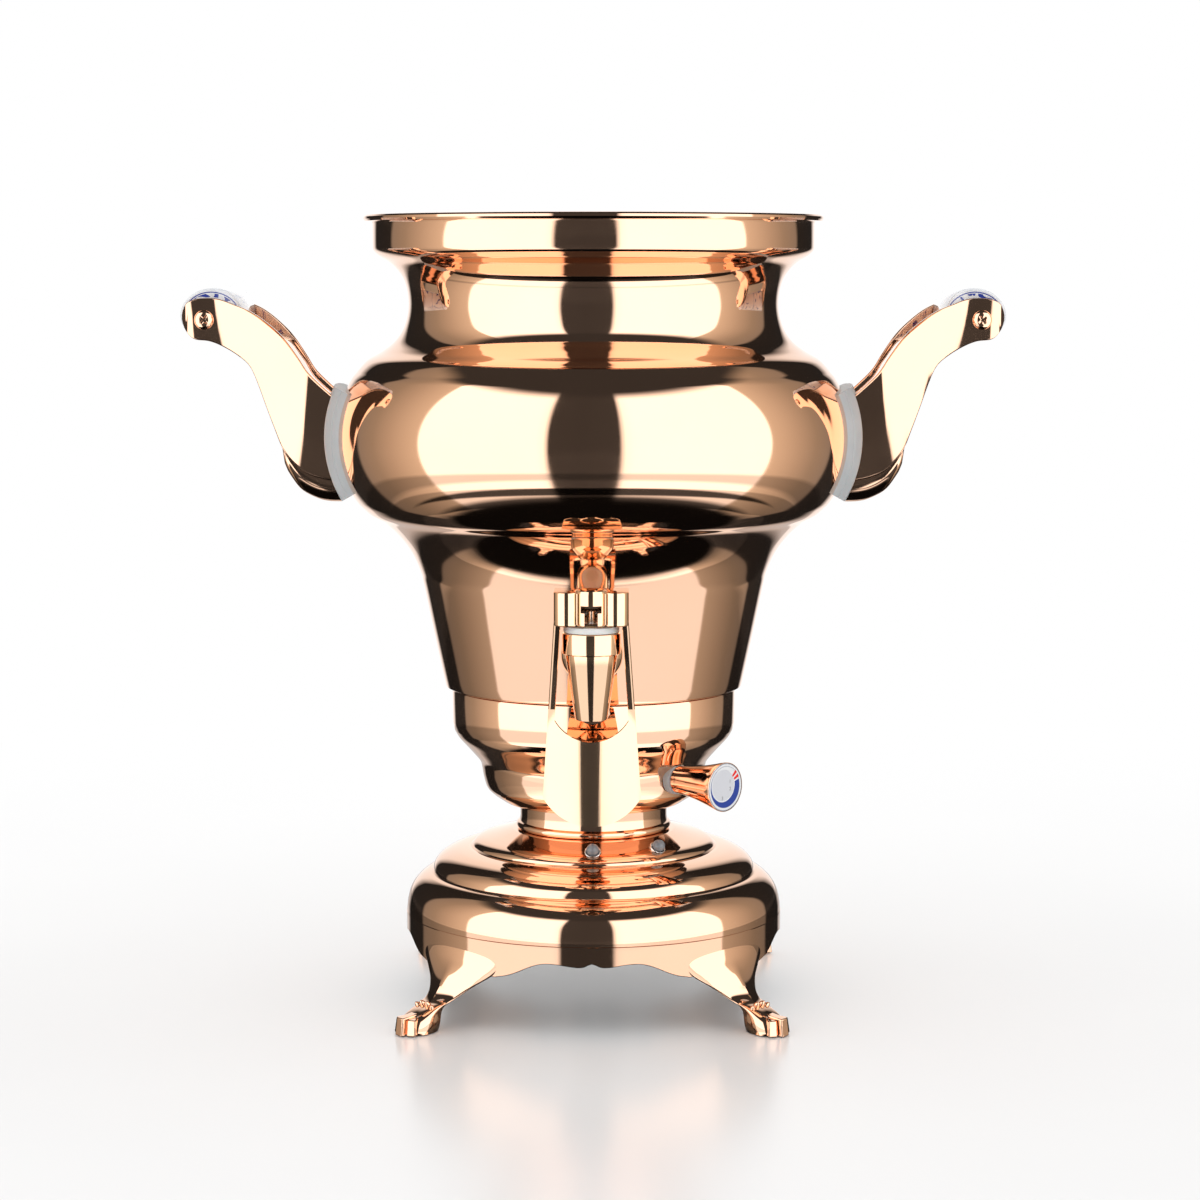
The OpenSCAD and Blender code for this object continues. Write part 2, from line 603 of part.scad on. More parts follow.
module grip_bolt() {
    color(copper) grip_bolt_axis() {
        translate([0, 0, -handle_w / 2 - bolt_end_l]) cylinder(h = handle_w + bolt_end_l, r = grip_bolt_r);
        translate([0, 0, handle_w / 2]) cylinder(h = bolt_head_h, r = bolt_head_r);
    }
}
module grip_bolt_right() { grip_bolt(); }
module grip_bolt_left() { left_of_axis() grip_bolt(); }
module grip_nut() {
    color(copper) grip_bolt_axis() translate([0, 0, -handle_w / 2 - bolt_nut_h]) difference() {
        cylinder(h = bolt_nut_h, r = grip_bolt_r * 1.95, $fn = 6);
        translate([0, 0, -over]) cylinder(h = bolt_nut_h + 2 * over, r = grip_bolt_r + running_gap);
    }
}
module grip_nut_right() { grip_nut(); }
module grip_nut_left() { left_of_axis() grip_nut(); }

// Silicone pad: a curved cushion whose sides spread towards the belly
pad_half_in = handle_root_w / 2 + 1.4 * pad_t;
pad_half_out = handle_root_w / 2 + 0.15 * pad_t;
pad_top_shares = [[-0.15, 0.6], [0.1, 0.535]];
pad_plan = [[root_x, -pad_half_in], [belly_r + pad_t, -pad_half_out], [belly_r + 2 * pad_t, -pad_half_out],
    [belly_r + 2 * pad_t, pad_half_out], [belly_r + pad_t, pad_half_out], [root_x, pad_half_in]];
pad_side = concat(placed(pad_top_shares, handle_reach, handle_h, handle_from),
    [[belly_r + 2 * pad_t, handle_z], [belly_r - 0.2 * handle_reach, handle_z]]);
module handle_pad() {
    color(silicone) difference() {
        intersection() {
            belly_ring(pad_t);
            linear_extrude(top_z) polygon(pad_plan);
            slab(pad_side, 4 * handle_w);
        }
        belly_ring(0);
        handle_bolt_places() cylinder(h = 2 * belly_r, r = handle_bolt_hole_r);
    }
}
module handle_pad_right() { handle_pad(); }
module handle_pad_left() { left_of_axis() handle_pad(); }

// Two bolts from inside the tank, through wall and pad into the handle
handle_head_x = belly_r - wall_t - 1.15 * handle_bolt_r;
module handle_bolts() {
    color(steel) handle_bolt_places() {
        translate([0, 0, handle_head_x - handle_bolt_r])
            cylinder(h = handle_bolt_r, r = handle_bolt_r * 1.75);
        translate([0, 0, handle_head_x])
            cylinder(h = belly_r + handle_bolt_l - handle_head_x, r = handle_bolt_r);
    }
}
module handle_bolts_right() { handle_bolts(); }
module handle_bolts_left() { left_of_axis() handle_bolts(); }

// Tap: spout, shank and boss in one casting
bonnet_z = tap_z + bonnet_rise;
spout_foot_z = bonnet_z - spout_h;
chamber_floor_z = bonnet_z - chamber_h;
wall_y = bowl_r(tap_z);
boss_from = wall_y + 0.3 * boss_r;
boss_to = tap_reach - bonnet_r - seat_gap;
shank_end = wall_y - 1.15 * shank_r;

module at_spout(z) {
    translate([0, -tap_reach, z]) children();
}
// Turned piece on the shank's axis, from one distance off the vessel's axis to another
module on_shank(from, to, r) {
    translate([0, -from, tap_z]) rotate([90, 0, 0]) cylinder(h = to - from, r = r);
}
// The bowl's cone as a solid, its face moved out by t
module bowl_cone(t) {
    low_z = vessel_z + foot_corner;
    high_z = vessel_z + waist_shares[0][1] * vessel_h;
    translate([0, 0, low_z]) cylinder(h = high_z - low_z, r1 = bowl_r(low_z) + t, r2 = bowl_r(high_z) + t);
}
module tap_body() {
    color(copper) difference() {
        union() {
            at_spout(spout_foot_z) cylinder(h = spout_h - bonnet_h, r1 = spout_tip_r, r2 = spout_r);
            at_spout(bonnet_z - bonnet_h) cylinder(h = bonnet_h, r = bonnet_r - wall_t);
            on_shank(shank_end, tap_reach, shank_r);
            on_shank(boss_from, boss_to, boss_r);
        }
        at_spout(chamber_floor_z) cylinder(h = chamber_h + over, r = chamber_r);
        at_spout(spout_foot_z - over) cylinder(h = spout_h, r = outlet_r);
        on_shank(shank_end - over, tap_reach, shank_bore_r);
    }
}
// Ring round the bonnet, notched where the shank comes in
module bonnet_ring() {
    color(copper) difference() {
        at_spout(bonnet_z - bonnet_h) tube(bonnet_r, bonnet_r - wall_t + running_gap, bonnet_h);
        on_shank(shank_end, tap_reach, shank_r + seat_gap);
    }
}
cup_skirt_h = cup_t * 2;
module seat_cup() {
    color([0.93, 0.93, 0.92]) difference() {
        union() {
            at_spout(bonnet_z) cylinder(h = cup_t, r = cup_r);
            at_spout(bonnet_z - cup_skirt_h) cylinder(h = cup_skirt_h, r = chamber_r - seat_gap / 2);
        }
        at_spout(bonnet_z - cup_skirt_h - over)
            cylinder(h = cup_skirt_h + cup_t + 2 * over, r = stem_r + running_gap);
    }
}
// Washer between the boss and the bowl, shaped to the bowl's cone
module tap_seal() {
    color(silicone) difference() {
        on_shank(wall_y - 0.3 * boss_r, boss_from, boss_r * 0.94);
        on_shank(wall_y - boss_r, tap_reach, shank_r + seat_gap / 3);
        bowl_cone(seat_gap / 6);
    }
}
nut_in_h = shank_r * 0.55;
nut_outer_r = shank_r * 1.5;
module tap_nut() {
    color(steel) difference() {
        translate([0, -(wall_y - wall_t - 0.5 * shank_r), tap_z]) rotate([-90, 0, 0])
            cylinder(h = nut_in_h, r = nut_outer_r, $fn = 6);
        on_shank(shank_end - nut_in_h, tap_reach, shank_r + running_gap);
    }
}

// Stem with its plug and cross pin
pin_z = bonnet_z + cup_t + 0.34 * cap_h;
pin_r = stem_r * 0.5;
pin_l = stem_r * 4;
plug_h = outlet_r * 1.1;
stem_top_z = pin_z + stem_r * 0.65;
module valve_stem() {
    color(steel) difference() {
        at_spout(chamber_floor_z + plug_h / 2)
            cylinder(h = stem_top_z - chamber_floor_z - plug_h / 2, r = stem_r);
        at_spout(pin_z) rotate([0, 90, 0]) translate([0, 0, -stem_r - over])
            cylinder(h = 2 * (stem_r + over), r = pin_r + running_gap);
    }
}
module valve_plug() {
    color(silicone) difference() {
        at_spout(chamber_floor_z) cylinder(h = plug_h, r = outlet_r * 1.4);
        at_spout(chamber_floor_z + plug_h / 2) cylinder(h = plug_h, r = stem_r + running_gap);
    }
}
module stem_pin() {
    color(steel) at_spout(pin_z) rotate([0, 90, 0])
        translate([0, 0, -pin_l / 2]) cylinder(h = pin_l, r = pin_r);
}

// Lever: cap with a slot for the stem, two rails and a curved tongue
rock_y = tap_reach + lever_throw;
rock_r = wall_t / 2;
rock_z = bonnet_z + cup_t + seat_gap + rock_r;
cap_z = bonnet_z + cup_t + 2 * seat_gap;
cap_lobe_r = 0.45 * cap_h;
cap_front = rock_y + 0.23 * cap_h;
cap_back = tap_reach - 0.78 * lever_throw;
channel_w = stem_r * 2.6;
tip_z = cap_z - lever_drop;
tongue_corner_z = tip_z + 0.137 * lever_drop;
rail_end_z = tip_z + 0.59 * lever_drop;
window_low_z = tip_z + 0.43 * lever_drop;
window_top_half = rail_span / 2 - rail_w;
window_low_half = 0.742 * tongue_w / 2;
window_corner_z = window_low_z + 0.1 * lever_drop;
tip_sag = tongue_corner_z - tip_z;
tip_round_r = (tongue_w * tongue_w / 4 + tip_sag * tip_sag) / (2 * tip_sag);
tip_round_angle = asin(tongue_w / 2 / tip_round_r);
window_sag = window_corner_z - window_low_z;
window_round_r = (window_low_half * window_low_half + window_sag * window_sag) / (2 * window_sag);
window_round_angle = asin(window_low_half / window_round_r);
lever_outline = concat([[-rail_span / 2, cap_z + over]],
    arc([0, tip_z + tip_round_r], tip_round_r, -90 - tip_round_angle, -90 + tip_round_angle, 16),
    [[rail_span / 2, cap_z + over]]);
window_round_c = [0, window_low_z + window_round_r];
window_outline = concat([[-window_top_half, cap_z]],
    arc(window_round_c, window_round_r, -90 - window_round_angle, -90 + window_round_angle, 12),
    [[window_top_half, cap_z]]);

// Curved sheet that leans back from the cap, t thick, down to the height low_z
module lever_sheet(t, low_z) {
    long = 2 * lever_drop;
    intersection() {
        translate([0, -cap_front + tongue_t, cap_z]) rotate([lever_lean, 0, 0]) difference() {
            translate([0, tongue_curve_r, -long]) cylinder(h = 2 * long, r = tongue_curve_r);
            translate([0, tongue_curve_r, -long - over])
                cylinder(h = 2 * long + 2 * over, r = tongue_curve_r - t);
            translate([-tongue_w, tongue_curve_r * 0.6, -long - over])
                cube([2 * tongue_w, 2 * tongue_curve_r, 2 * long + 2 * over]);
        }
        translate([-tongue_w, -2 * tap_reach, low_z])
            cube([2 * tongue_w, 2 * tap_reach, cap_z + over - low_z]);
    }
}
module cap() {
    lobe_y = -cap_front + cap_lobe_r;
    side_h = cap_h * 0.93;
    difference() {
        union() {
            translate([0, lobe_y, cap_z]) cylinder(h = cap_h, r = cap_lobe_r);
            for (side = [-1, 1]) translate([side * (rail_span / 2 - 0.8 * cap_lobe_r), lobe_y, cap_z])
                cylinder(h = side_h, r = cap_lobe_r * 0.8);
            translate([-rail_span / 2, lobe_y, cap_z])
                cube([rail_span, cap_front - cap_lobe_r - cap_back, side_h]);
            // Bead that rocks on the seat cup's front edge
            translate([-cup_r, -rock_y, rock_z]) rotate([0, 90, 0]) cylinder(h = 2 * cup_r, r = rock_r);
        }
        // Channel for the stem, opening at the front, and the groove for its cross pin
        translate([-channel_w / 2, -cap_front - over, cap_z - over])
            cube([channel_w, cap_front - cap_back - 0.15 * cap_h, 0.42 * cap_h]);
        translate([-channel_w * 0.88, -cap_front - over, cap_z + 0.38 * cap_h])
            cube([channel_w * 1.76, cap_front - tap_reach + stem_r * 1.5, 0.19 * cap_h]);
        translate([-pin_l / 2 - seat_gap, -tap_reach - pin_r * 3, pin_z - pin_r - seat_gap])
            cube([pin_l + 2 * seat_gap, pin_r * 8, pin_r * 2 + 2.4 * seat_gap]);
    }
}
module tap_lever() {
    color(copper) {
        cap();
        difference() {
            intersection() {
                slab(lever_outline, 4 * tap_reach);
                union() {
                    lever_sheet(tongue_t, tip_z);
                    lever_sheet(2.6 * tongue_t, rail_end_z);
                }
            }
            slab(window_outline, 4 * tap_reach);
        }
    }
}

// Thermostat: bush in the housing's wall, body, shaft and the knob with its dial
tier_wall_r = 0.79 * band_r;
bush_flange_t = shaft_r * 0.95;
bush_face = tier_wall_r + bush_flange_t + seat_gap;
body_depth = knob_r * 1.7;
body_face = tier_wall_r - 0.18 * band_r;
knob_from = bush_face + seat_gap;
knob_face = knob_from + knob_l;
dial_r = knob_r * 0.91;
dial_t = shaft_r * 0.3;
knob_mouth = knob_from + knob_l * 0.4;
knob_shares = [[0, 0], [0, 0.06], [0.12, 0.25], [0.36, 0.5], [0.68, 0.75], [0.93, 0.93], [1, 1]];

module thermostat_bush() {
    color(silicone) on_knob_axis() difference() {
        union() {
            difference() {
                translate([0, 0, bush_face - bush_flange_t]) cylinder(h = bush_flange_t, r = bush_r);
                rotate([-90, 0, 0]) translate([0, 0, -knob_z]) housing_form(seat_gap / 2);
            }
            translate([0, 0, body_face]) cylinder(h = bush_face - body_face, r = bush_sleeve_r);
        }
        translate([0, 0, body_face - over]) cylinder(h = knob_l, r = shaft_r + running_gap);
    }
}
module thermostat_body() {
    color(steel) on_knob_axis() translate([0, 0, body_face - body_depth]) difference() {
        cylinder(h = body_depth, r = knob_r);
        translate([0, 0, body_depth / 2]) cylinder(h = body_depth, r = shaft_r + running_gap);
    }
}
module thermostat_shaft() {
    color(steel) on_knob_axis() translate([0, 0, body_face - body_depth / 3])
        cylinder(h = knob_mouth - body_face + body_depth / 3 - seat_gap, r = shaft_r);
}
module thermostat_knob() {
    side = curve([for (s = knob_shares)
        [knob_neck_r + s[0] * (knob_r - knob_neck_r), knob_from + s[1] * knob_l]]);
    color(copper) on_knob_axis() difference() {
        rotate_extrude() polygon(concat([[0, knob_from]], side, [[0, knob_face]]));
        translate([0, 0, knob_from - over])
            cylinder(h = knob_mouth - knob_from + over, r = shaft_r + running_gap);
        translate([0, 0, knob_face - dial_t]) cylinder(h = dial_t + over, r = dial_r + running_gap);
    }
}
module knob_dial() {
    color(porcelain) on_knob_axis() translate([0, 0, knob_face - dial_t]) cylinder(h = dial_t, r = dial_r);
}

vessel_shell();
tank_floor();
floor_seal();
heat_spreader();
heating_element();
dry_boil_cutout();
heater_housing();
pedestal_neck();
base_dome();
foot_frame();
bottom_plate();
bottom_screws();
tie_rod();
tie_washer();
tie_nut();
handle_left();
handle_right();
grip_left();
grip_right();
grip_bolt_left();
grip_bolt_right();
grip_nut_left();
grip_nut_right();
handle_pad_left();
handle_pad_right();
handle_bolts_left();
handle_bolts_right();
tap_body();
bonnet_ring();
seat_cup();
tap_seal();
tap_nut();
valve_stem();
valve_plug();
stem_pin();
tap_lever();
thermostat_bush();
thermostat_body();
thermostat_shaft();
thermostat_knob();
knob_dial();
power_lamp_lens();
power_lamp_bezel();
heat_lamp_lens();
heat_lamp_bezel();
cord_gland();
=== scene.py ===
import math

import bpy
from mathutils import Matrix, Vector


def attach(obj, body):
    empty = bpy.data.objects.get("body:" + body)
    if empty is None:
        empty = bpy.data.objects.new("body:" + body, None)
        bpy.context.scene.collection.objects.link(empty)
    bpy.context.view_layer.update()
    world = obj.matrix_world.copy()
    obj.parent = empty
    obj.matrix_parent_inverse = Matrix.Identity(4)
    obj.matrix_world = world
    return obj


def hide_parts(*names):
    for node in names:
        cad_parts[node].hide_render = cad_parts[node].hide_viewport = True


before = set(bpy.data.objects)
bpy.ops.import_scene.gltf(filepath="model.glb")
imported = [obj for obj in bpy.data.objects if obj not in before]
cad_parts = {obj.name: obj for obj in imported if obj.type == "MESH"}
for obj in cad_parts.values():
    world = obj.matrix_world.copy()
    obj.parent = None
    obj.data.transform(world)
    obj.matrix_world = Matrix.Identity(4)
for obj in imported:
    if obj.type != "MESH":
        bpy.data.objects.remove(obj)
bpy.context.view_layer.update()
mm = 0.001
print("scene: frame loaded")

# Camera, fitted to the ellipses of lip, band and base; azimuth 0 looks along +Y
camera = {
    "distance": 1245 * mm,     # level, from the vessel's axis
    "height": 303.8 * mm,
    "azimuth": 0.5,            # towards +X
    "pitchDown": 6.3537,
    "turnRight": 0.123,        # the axis lies a little left of the frame's middle
    "lens": 90.56,
}


def startFresh():
    if bpy.context.object and bpy.context.object.mode != "OBJECT":
        bpy.ops.object.mode_set(mode="OBJECT")
    bpy.ops.object.select_all(action="DESELECT")


def selectOnly(piece):
    startFresh()
    piece.select_set(True)
    bpy.context.view_layer.objects.active = piece


def makeCamera():
    startFresh()
    around = math.radians(camera["azimuth"])
    place = (camera["distance"] * math.sin(around), -camera["distance"] * math.cos(around), camera["height"])
    turn = (math.radians(90 - camera["pitchDown"]), 0, math.radians(camera["azimuth"] - camera["turnRight"]))
    bpy.ops.object.camera_add(location=place, rotation=turn)
    eye = bpy.context.object
    eye.name = "studioCamera"
    eye.data.lens = camera["lens"]
    eye.data.sensor_fit = "HORIZONTAL"
    eye.data.sensor_width = 36
    bpy.context.scene.camera = eye


makeCamera()
bpy.context.scene.view_settings.view_transform = "Standard"
print("scene: camera ready")


# Curves in millimetres
def splinePoint(a, b, c, d, t):    # on the curve from b to c
    bend = 2 * a - 5 * b + 4 * c - d
    return 0.5 * (2 * b + (c - a) * t + bend * t * t + (3 * b - a - 3 * c + d) * t ** 3)


def smoothRun(points, perSpan):    # through every point, ends kept
    spots = [Vector(p) for p in points[:1] + points + points[-1:]]
    run = [splinePoint(*spots[i:i + 4], k / perSpan) for i in range(len(points) - 1) for k in range(perSpan)]
    return run + [spots[-1]]


def smoothRing(points, perSpan):
    spots = [Vector(p) for p in points[-1:] + points + points[:2]]
    return [splinePoint(*spots[i:i + 4], k / perSpan) for i in range(len(points)) for k in range(perSpan)]


def arcRun(centre, radius, start, end, steps):
    turns = [math.radians(start + (end - start) * k / steps) for k in range(steps + 1)]
    return [Vector((centre[0] + radius * math.cos(a), centre[1] + radius * math.sin(a))) for a in turns]


def innerSide(path, wall):         # the path moved to its left
    moved = []
    for i, point in enumerate(path):
        along = Vector(path[min(i + 1, len(path) - 1)]) - Vector(path[max(i - 1, 0)])
        moved.append(Vector(point) + wall * Vector((-along.y, along.x)).normalized())
    return moved


# Modelling steps that several pieces share
def selectAll():
    bpy.ops.mesh.select_all(action="SELECT")


def drawLine(name, points):        # points in metres, drawn by extruding one vertex
    startFresh()
    bpy.ops.mesh.primitive_plane_add(size=mm, location=(0, 0, 0))
    piece = bpy.context.object
    piece.name = name
    bpy.ops.object.mode_set(mode="EDIT")
    bpy.ops.mesh.select_mode(type="VERT")
    selectAll()
    bpy.ops.mesh.merge(type="CENTER")
    bpy.ops.transform.translate(value=points[0])
    for here, there in zip(points, points[1:]):
        bpy.ops.mesh.extrude_region_move(TRANSFORM_OT_translate={"value": there - here})
    return piece


def drawRing(name, points):        # a closed line, left selected
    piece = drawLine(name, points + [points[0]])
    selectAll()
    bpy.ops.mesh.remove_doubles(threshold=0.001 * mm)
    selectAll()
    return piece


def thickOutline(name, points, rise):      # a closed line, filled and extruded once
    piece = drawRing(name, points)
    bpy.ops.mesh.edge_face_add()
    selectAll()
    bpy.ops.mesh.extrude_region_move(TRANSFORM_OT_translate={"value": rise})
    return piece


def tidyFaces():
    selectAll()
    bpy.ops.mesh.remove_doubles(threshold=0.004 * mm)
    selectAll()
    bpy.ops.mesh.normals_make_consistent(inside=False)


def finishShape(piece, sharp=35):
    selectOnly(piece)
    bpy.ops.object.shade_smooth_by_angle(angle=math.radians(sharp))


def closeEnds(piece, sharp):       # faces over the open ends of a run of rings
    selectAll()
    bpy.ops.mesh.fill_holes(sides=0)
    selectAll()
    bpy.ops.mesh.normals_make_consistent(inside=False)
    finishShape(piece, sharp)


def faceOutwards(piece):
    selectOnly(piece)
    bpy.ops.object.mode_set(mode="EDIT")
    selectAll()
    bpy.ops.mesh.normals_make_consistent(inside=False)
    bpy.ops.object.mode_set(mode="OBJECT")


def turnPiece(name, profile, steps, sharp=35):     # profile of (radius, height) in mm, round Z
    piece = drawLine(name, [Vector((p.x * mm, 0, p.y * mm)) for p in map(Vector, profile)])
    selectAll()
    bpy.ops.mesh.spin(steps=steps, angle=math.tau, center=(0, 0, 0), axis=(0, 0, 1))
    tidyFaces()
    finishShape(piece, sharp)
    return piece


def turnAt(name, profile, place, steps=96, sharp=35):
    piece = turnPiece(name, profile, steps, sharp)
    moveMesh(piece, place)
    return piece


def applyModifiers(piece):
    selectOnly(piece)
    for modifier in list(piece.modifiers):
        bpy.ops.object.modifier_apply(modifier=modifier.name)


def softenEdges(piece, width, segments=3, angle=40):
    bevel = piece.modifiers.new("softEdges", "BEVEL")
    bevel.width = width * mm
    bevel.segments = segments
    bevel.limit_method = "ANGLE"
    bevel.angle_limit = math.radians(angle)
    applyModifiers(piece)


def cutWith(piece, cutter, operation="DIFFERENCE"):
    cut = piece.modifiers.new("cut", "BOOLEAN")
    cut.operation = operation
    cut.solver = "EXACT"
    cut.object = cutter
    applyModifiers(piece)
    bpy.data.objects.remove(cutter)


def cutRound(piece, radius, depth, place, vertices=48):
    startFresh()
    bpy.ops.mesh.primitive_cylinder_add(vertices=vertices, radius=radius * mm, depth=depth * mm)
    cutter = bpy.context.object
    moveMesh(cutter, place)
    cutWith(piece, cutter)


def uniteWith(piece, others):
    for other in others:
        cutWith(piece, other, "UNION")
    finishShape(piece)


def moveMesh(piece, place):        # the place goes into the mesh, the object stays at the origin
    selectOnly(piece)
    piece.matrix_world = place
    bpy.ops.object.transform_apply(location=True, rotation=True, scale=True)


def moved(x, y, z):
    return Matrix.Translation((x * mm, y * mm, z * mm))


def turned(angle, axis):
    return Matrix.Rotation(math.radians(angle), 4, axis)


def outwards(height, turn=0, out=0):       # local Z runs level and away from the axis; turn 0 is -Y
    return moved(0, 0, height) @ turned(turn, "Z") @ turned(90, "X") @ moved(0, 0, out)


def joinPieces(first, others):
    selectOnly(first)
    for piece in others:
        piece.select_set(True)
    bpy.ops.object.join()
    return first


def copyPiece(piece):
    selectOnly(piece)
    bpy.ops.object.duplicate()
    return bpy.context.object


def otherSide(piece, name):        # a copy mirrored to -X
    twin = copyPiece(piece)
    twin.name = name
    twin.scale = (-1, 1, 1)
    bpy.ops.object.transform_apply(location=False, rotation=False, scale=True)
    faceOutwards(twin)
    return twin


def boxPiece(spans):               # spans in mm: (low, high) of x, y and z
    startFresh()
    bpy.ops.mesh.primitive_cube_add(size=1)
    piece = bpy.context.object
    middle = [(low + high) / 2 * mm for low, high in spans]
    size = [(high - low) * mm for low, high in spans]
    moveMesh(piece, Matrix.Translation(middle) @ Matrix.Diagonal((*size, 1)))
    return piece


def mountPiece(piece, node, slot, body="root", material=None):     # each slot has its finish below
    piece.data.materials.clear()
    piece.data.materials.append(material or finishes[slot])
    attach(piece, body)
    if node:
        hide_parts(node)


# Materials
def newMaterial(name):
    material = bpy.data.materials.new(name)
    material.use_nodes = True
    tree = material.node_tree
    return material, tree, tree.nodes["Principled BSDF"]


def objectNoise(tree, scale, detail=3.0, roughness=0.55, stretch=(1, 1, 1)):
    coords = tree.nodes.new("ShaderNodeTexCoord")
    mapping = tree.nodes.new("ShaderNodeMapping")
    mapping.inputs["Scale"].default_value = stretch
    noise = tree.nodes.new("ShaderNodeTexNoise")
    noise.inputs["Scale"].default_value = scale
    noise.inputs["Detail"].default_value = detail
    noise.inputs["Roughness"].default_value = roughness
    tree.links.new(coords.outputs["Object"], mapping.inputs["Vector"])
    tree.links.new(mapping.outputs["Vector"], noise.inputs["Vector"])
    return noise.outputs["Fac"]


def rampOf(tree, source, stops):
    ramp = tree.nodes.new("ShaderNodeValToRGB")
    while len(ramp.color_ramp.elements) < len(stops):
        ramp.color_ramp.elements.new(0.5)
    for element, (place, color) in zip(ramp.color_ramp.elements, stops):
        element.position = place
        element.color = (*color, 1)
    tree.links.new(source, ramp.inputs["Fac"])
    return ramp.outputs["Color"]


def splitCoords(tree, kind="Object"):
    coords = tree.nodes.new("ShaderNodeTexCoord")
    parts = tree.nodes.new("ShaderNodeSeparateXYZ")
    tree.links.new(coords.outputs[kind], parts.inputs["Vector"])
    return [parts.outputs[axis] for axis in "XYZ"]


def mathNode(tree, operation, *values):    # values are numbers or sockets
    node = tree.nodes.new("ShaderNodeMath")
    node.operation = operation
    for socket, value in zip(node.inputs, values):
        if isinstance(value, (int, float)):
            socket.default_value = value
        else:
            tree.links.new(value, socket)
    return node.outputs["Value"]


def mixColor(tree, mask, below, above):    # colours are tuples or sockets
    mix = tree.nodes.new("ShaderNodeMix")
    mix.data_type = "RGBA"
    tree.links.new(mask, mix.inputs["Factor"])
    for side, color in (("A", below), ("B", above)):
        if isinstance(color, tuple):
            mix.inputs[side].default_value = (*color, 1)
        else:
            tree.links.new(color, mix.inputs[side])
    return mix.outputs["Result"]


def mixShader(tree, mask, below, above):
    mix = tree.nodes.new("ShaderNodeMixShader")
    tree.links.new(mask, mix.inputs["Fac"])
    tree.links.new(below, mix.inputs[1])
    tree.links.new(above, mix.inputs[2])
    return mix.outputs["Shader"]


def rangeOf(tree, source, low, high, blend="LINEAR"):
    node = tree.nodes.new("ShaderNodeMapRange")
    node.interpolation_type = blend
    node.inputs["From Min"].default_value = low
    node.inputs["From Max"].default_value = high
    tree.links.new(source, node.inputs["Value"])
    return node.outputs["Result"]


def grey(value):
    return (value, value, value)


def addBump(tree, shader, source, strength, distance):
    bump = tree.nodes.new("ShaderNodeBump")
    bump.inputs["Strength"].default_value = strength
    bump.inputs["Distance"].default_value = distance * mm
    tree.links.new(source, bump.inputs["Height"])
    tree.links.new(bump.outputs["Normal"], shader.inputs["Normal"])


copperTone = {
    "clean": (0.95, 0.605, 0.425),
    "warm": (0.93, 0.575, 0.39),
    "tap": (0.95, 0.64, 0.43),
    "tapWarm": (0.935, 0.605, 0.385),
    "roughness": (0.025, 0.07),
    "tintSize": 9, "wipeSize": 38, "peelSize": 420,
}
plainTone = {                      # dark and light tone, roughness, metallic, mottling's size and detail
    "greySilicone": ((0.43, 0.45, 0.46), (0.50, 0.52, 0.53), 0.38, 0, 60, 4),
    "whiteSilicone": ((0.83, 0.83, 0.81), (0.88, 0.88, 0.86), 0.4, 0, 60, 4),
    "blackRubber": (grey(0.018), grey(0.032), 0.55, 0, 90, 4),
    "lampGlass": ((0.30, 0.32, 0.35), (0.40, 0.42, 0.45), 0.05, 0, 400, 2),
    "brightBezel": (grey(0.72), grey(0.8), 0.09, 1, 300, 3),
    "porcelain": ((0.80, 0.83, 0.87), (0.87, 0.89, 0.91), 0.07, 0, 120, 3),
    "printedDial": ((0.83, 0.84, 0.86), (0.86, 0.87, 0.88), 0.4, 0, 300, 2),
    "greyInk": (grey(0.2), grey(0.28), 0.3, 0, 800, 2),
    "elementAlloy": ((0.30, 0.28, 0.27), (0.42, 0.39, 0.36), 0.42, 1, 60, 4),
    "phenolicBody": ((0.05, 0.045, 0.04), (0.085, 0.07, 0.06), 0.4, 0, 120, 4),
    "studioFloor": (grey(0.93), grey(0.96), 0.22, 0, 3, 2),
}
grainTone = {                      # dark and light tone, roughness from and to; grain's size, detail, stretch
    "stainlessSteel": ((0.60, 0.60, 0.60), (0.69, 0.69, 0.70), 0.16, 0.28, 220, 3, (1, 1, 8)),
    "zincPlate": ((0.52, 0.54, 0.55), (0.64, 0.65, 0.66), 0.28, 0.42, 150, 4, (1, 1, 1)),
}


def makeCopper(name, clean, warm):
    material, tree, shader = newMaterial(name)
    shader.inputs["Metallic"].default_value = 1
    color = rampOf(tree, objectNoise(tree, copperTone["tintSize"], 4), [(0.35, clean), (0.7, warm)])
    tree.links.new(color, shader.inputs["Base Color"])
    low, high = copperTone["roughness"]
    wipe = objectNoise(tree, copperTone["wipeSize"], 6, 0.65, (1, 1, 2.2))
    tree.links.new(rampOf(tree, wipe, [(0.3, grey(low)), (0.75, grey(high))]), shader.inputs["Roughness"])
    addBump(tree, shader, objectNoise(tree, copperTone["peelSize"], 2), 0.02, 0.02)
    return material


def makePlain(name):
    dark, light, roughness, metallic, scale, detail = plainTone[name]
    material, tree, shader = newMaterial(name)
    color = rampOf(tree, objectNoise(tree, scale, detail), [(0.3, dark), (0.7, light)])
    tree.links.new(color, shader.inputs["Base Color"])
    shader.inputs["Roughness"].default_value = roughness
    shader.inputs["Metallic"].default_value = metallic
    return material, tree, shader, color


def makeGrained(name):
    dark, light, low, high, scale, detail, stretch = grainTone[name]
    material, tree, shader = newMaterial(name)
    shader.inputs["Metallic"].default_value = 1
    grain = objectNoise(tree, scale, detail, 0.6, stretch)
    tree.links.new(rampOf(tree, grain, [(0.3, dark), (0.7, light)]), shader.inputs["Base Color"])
    tree.links.new(rampOf(tree, grain, [(0.2, grey(low)), (0.8, grey(high))]), shader.inputs["Roughness"])
    return material, tree, shader, grain


def makeSteel():
    material, tree, shader, grain = makeGrained("stainlessSteel")
    addBump(tree, shader, grain, 0.05, 0.03)
    return material


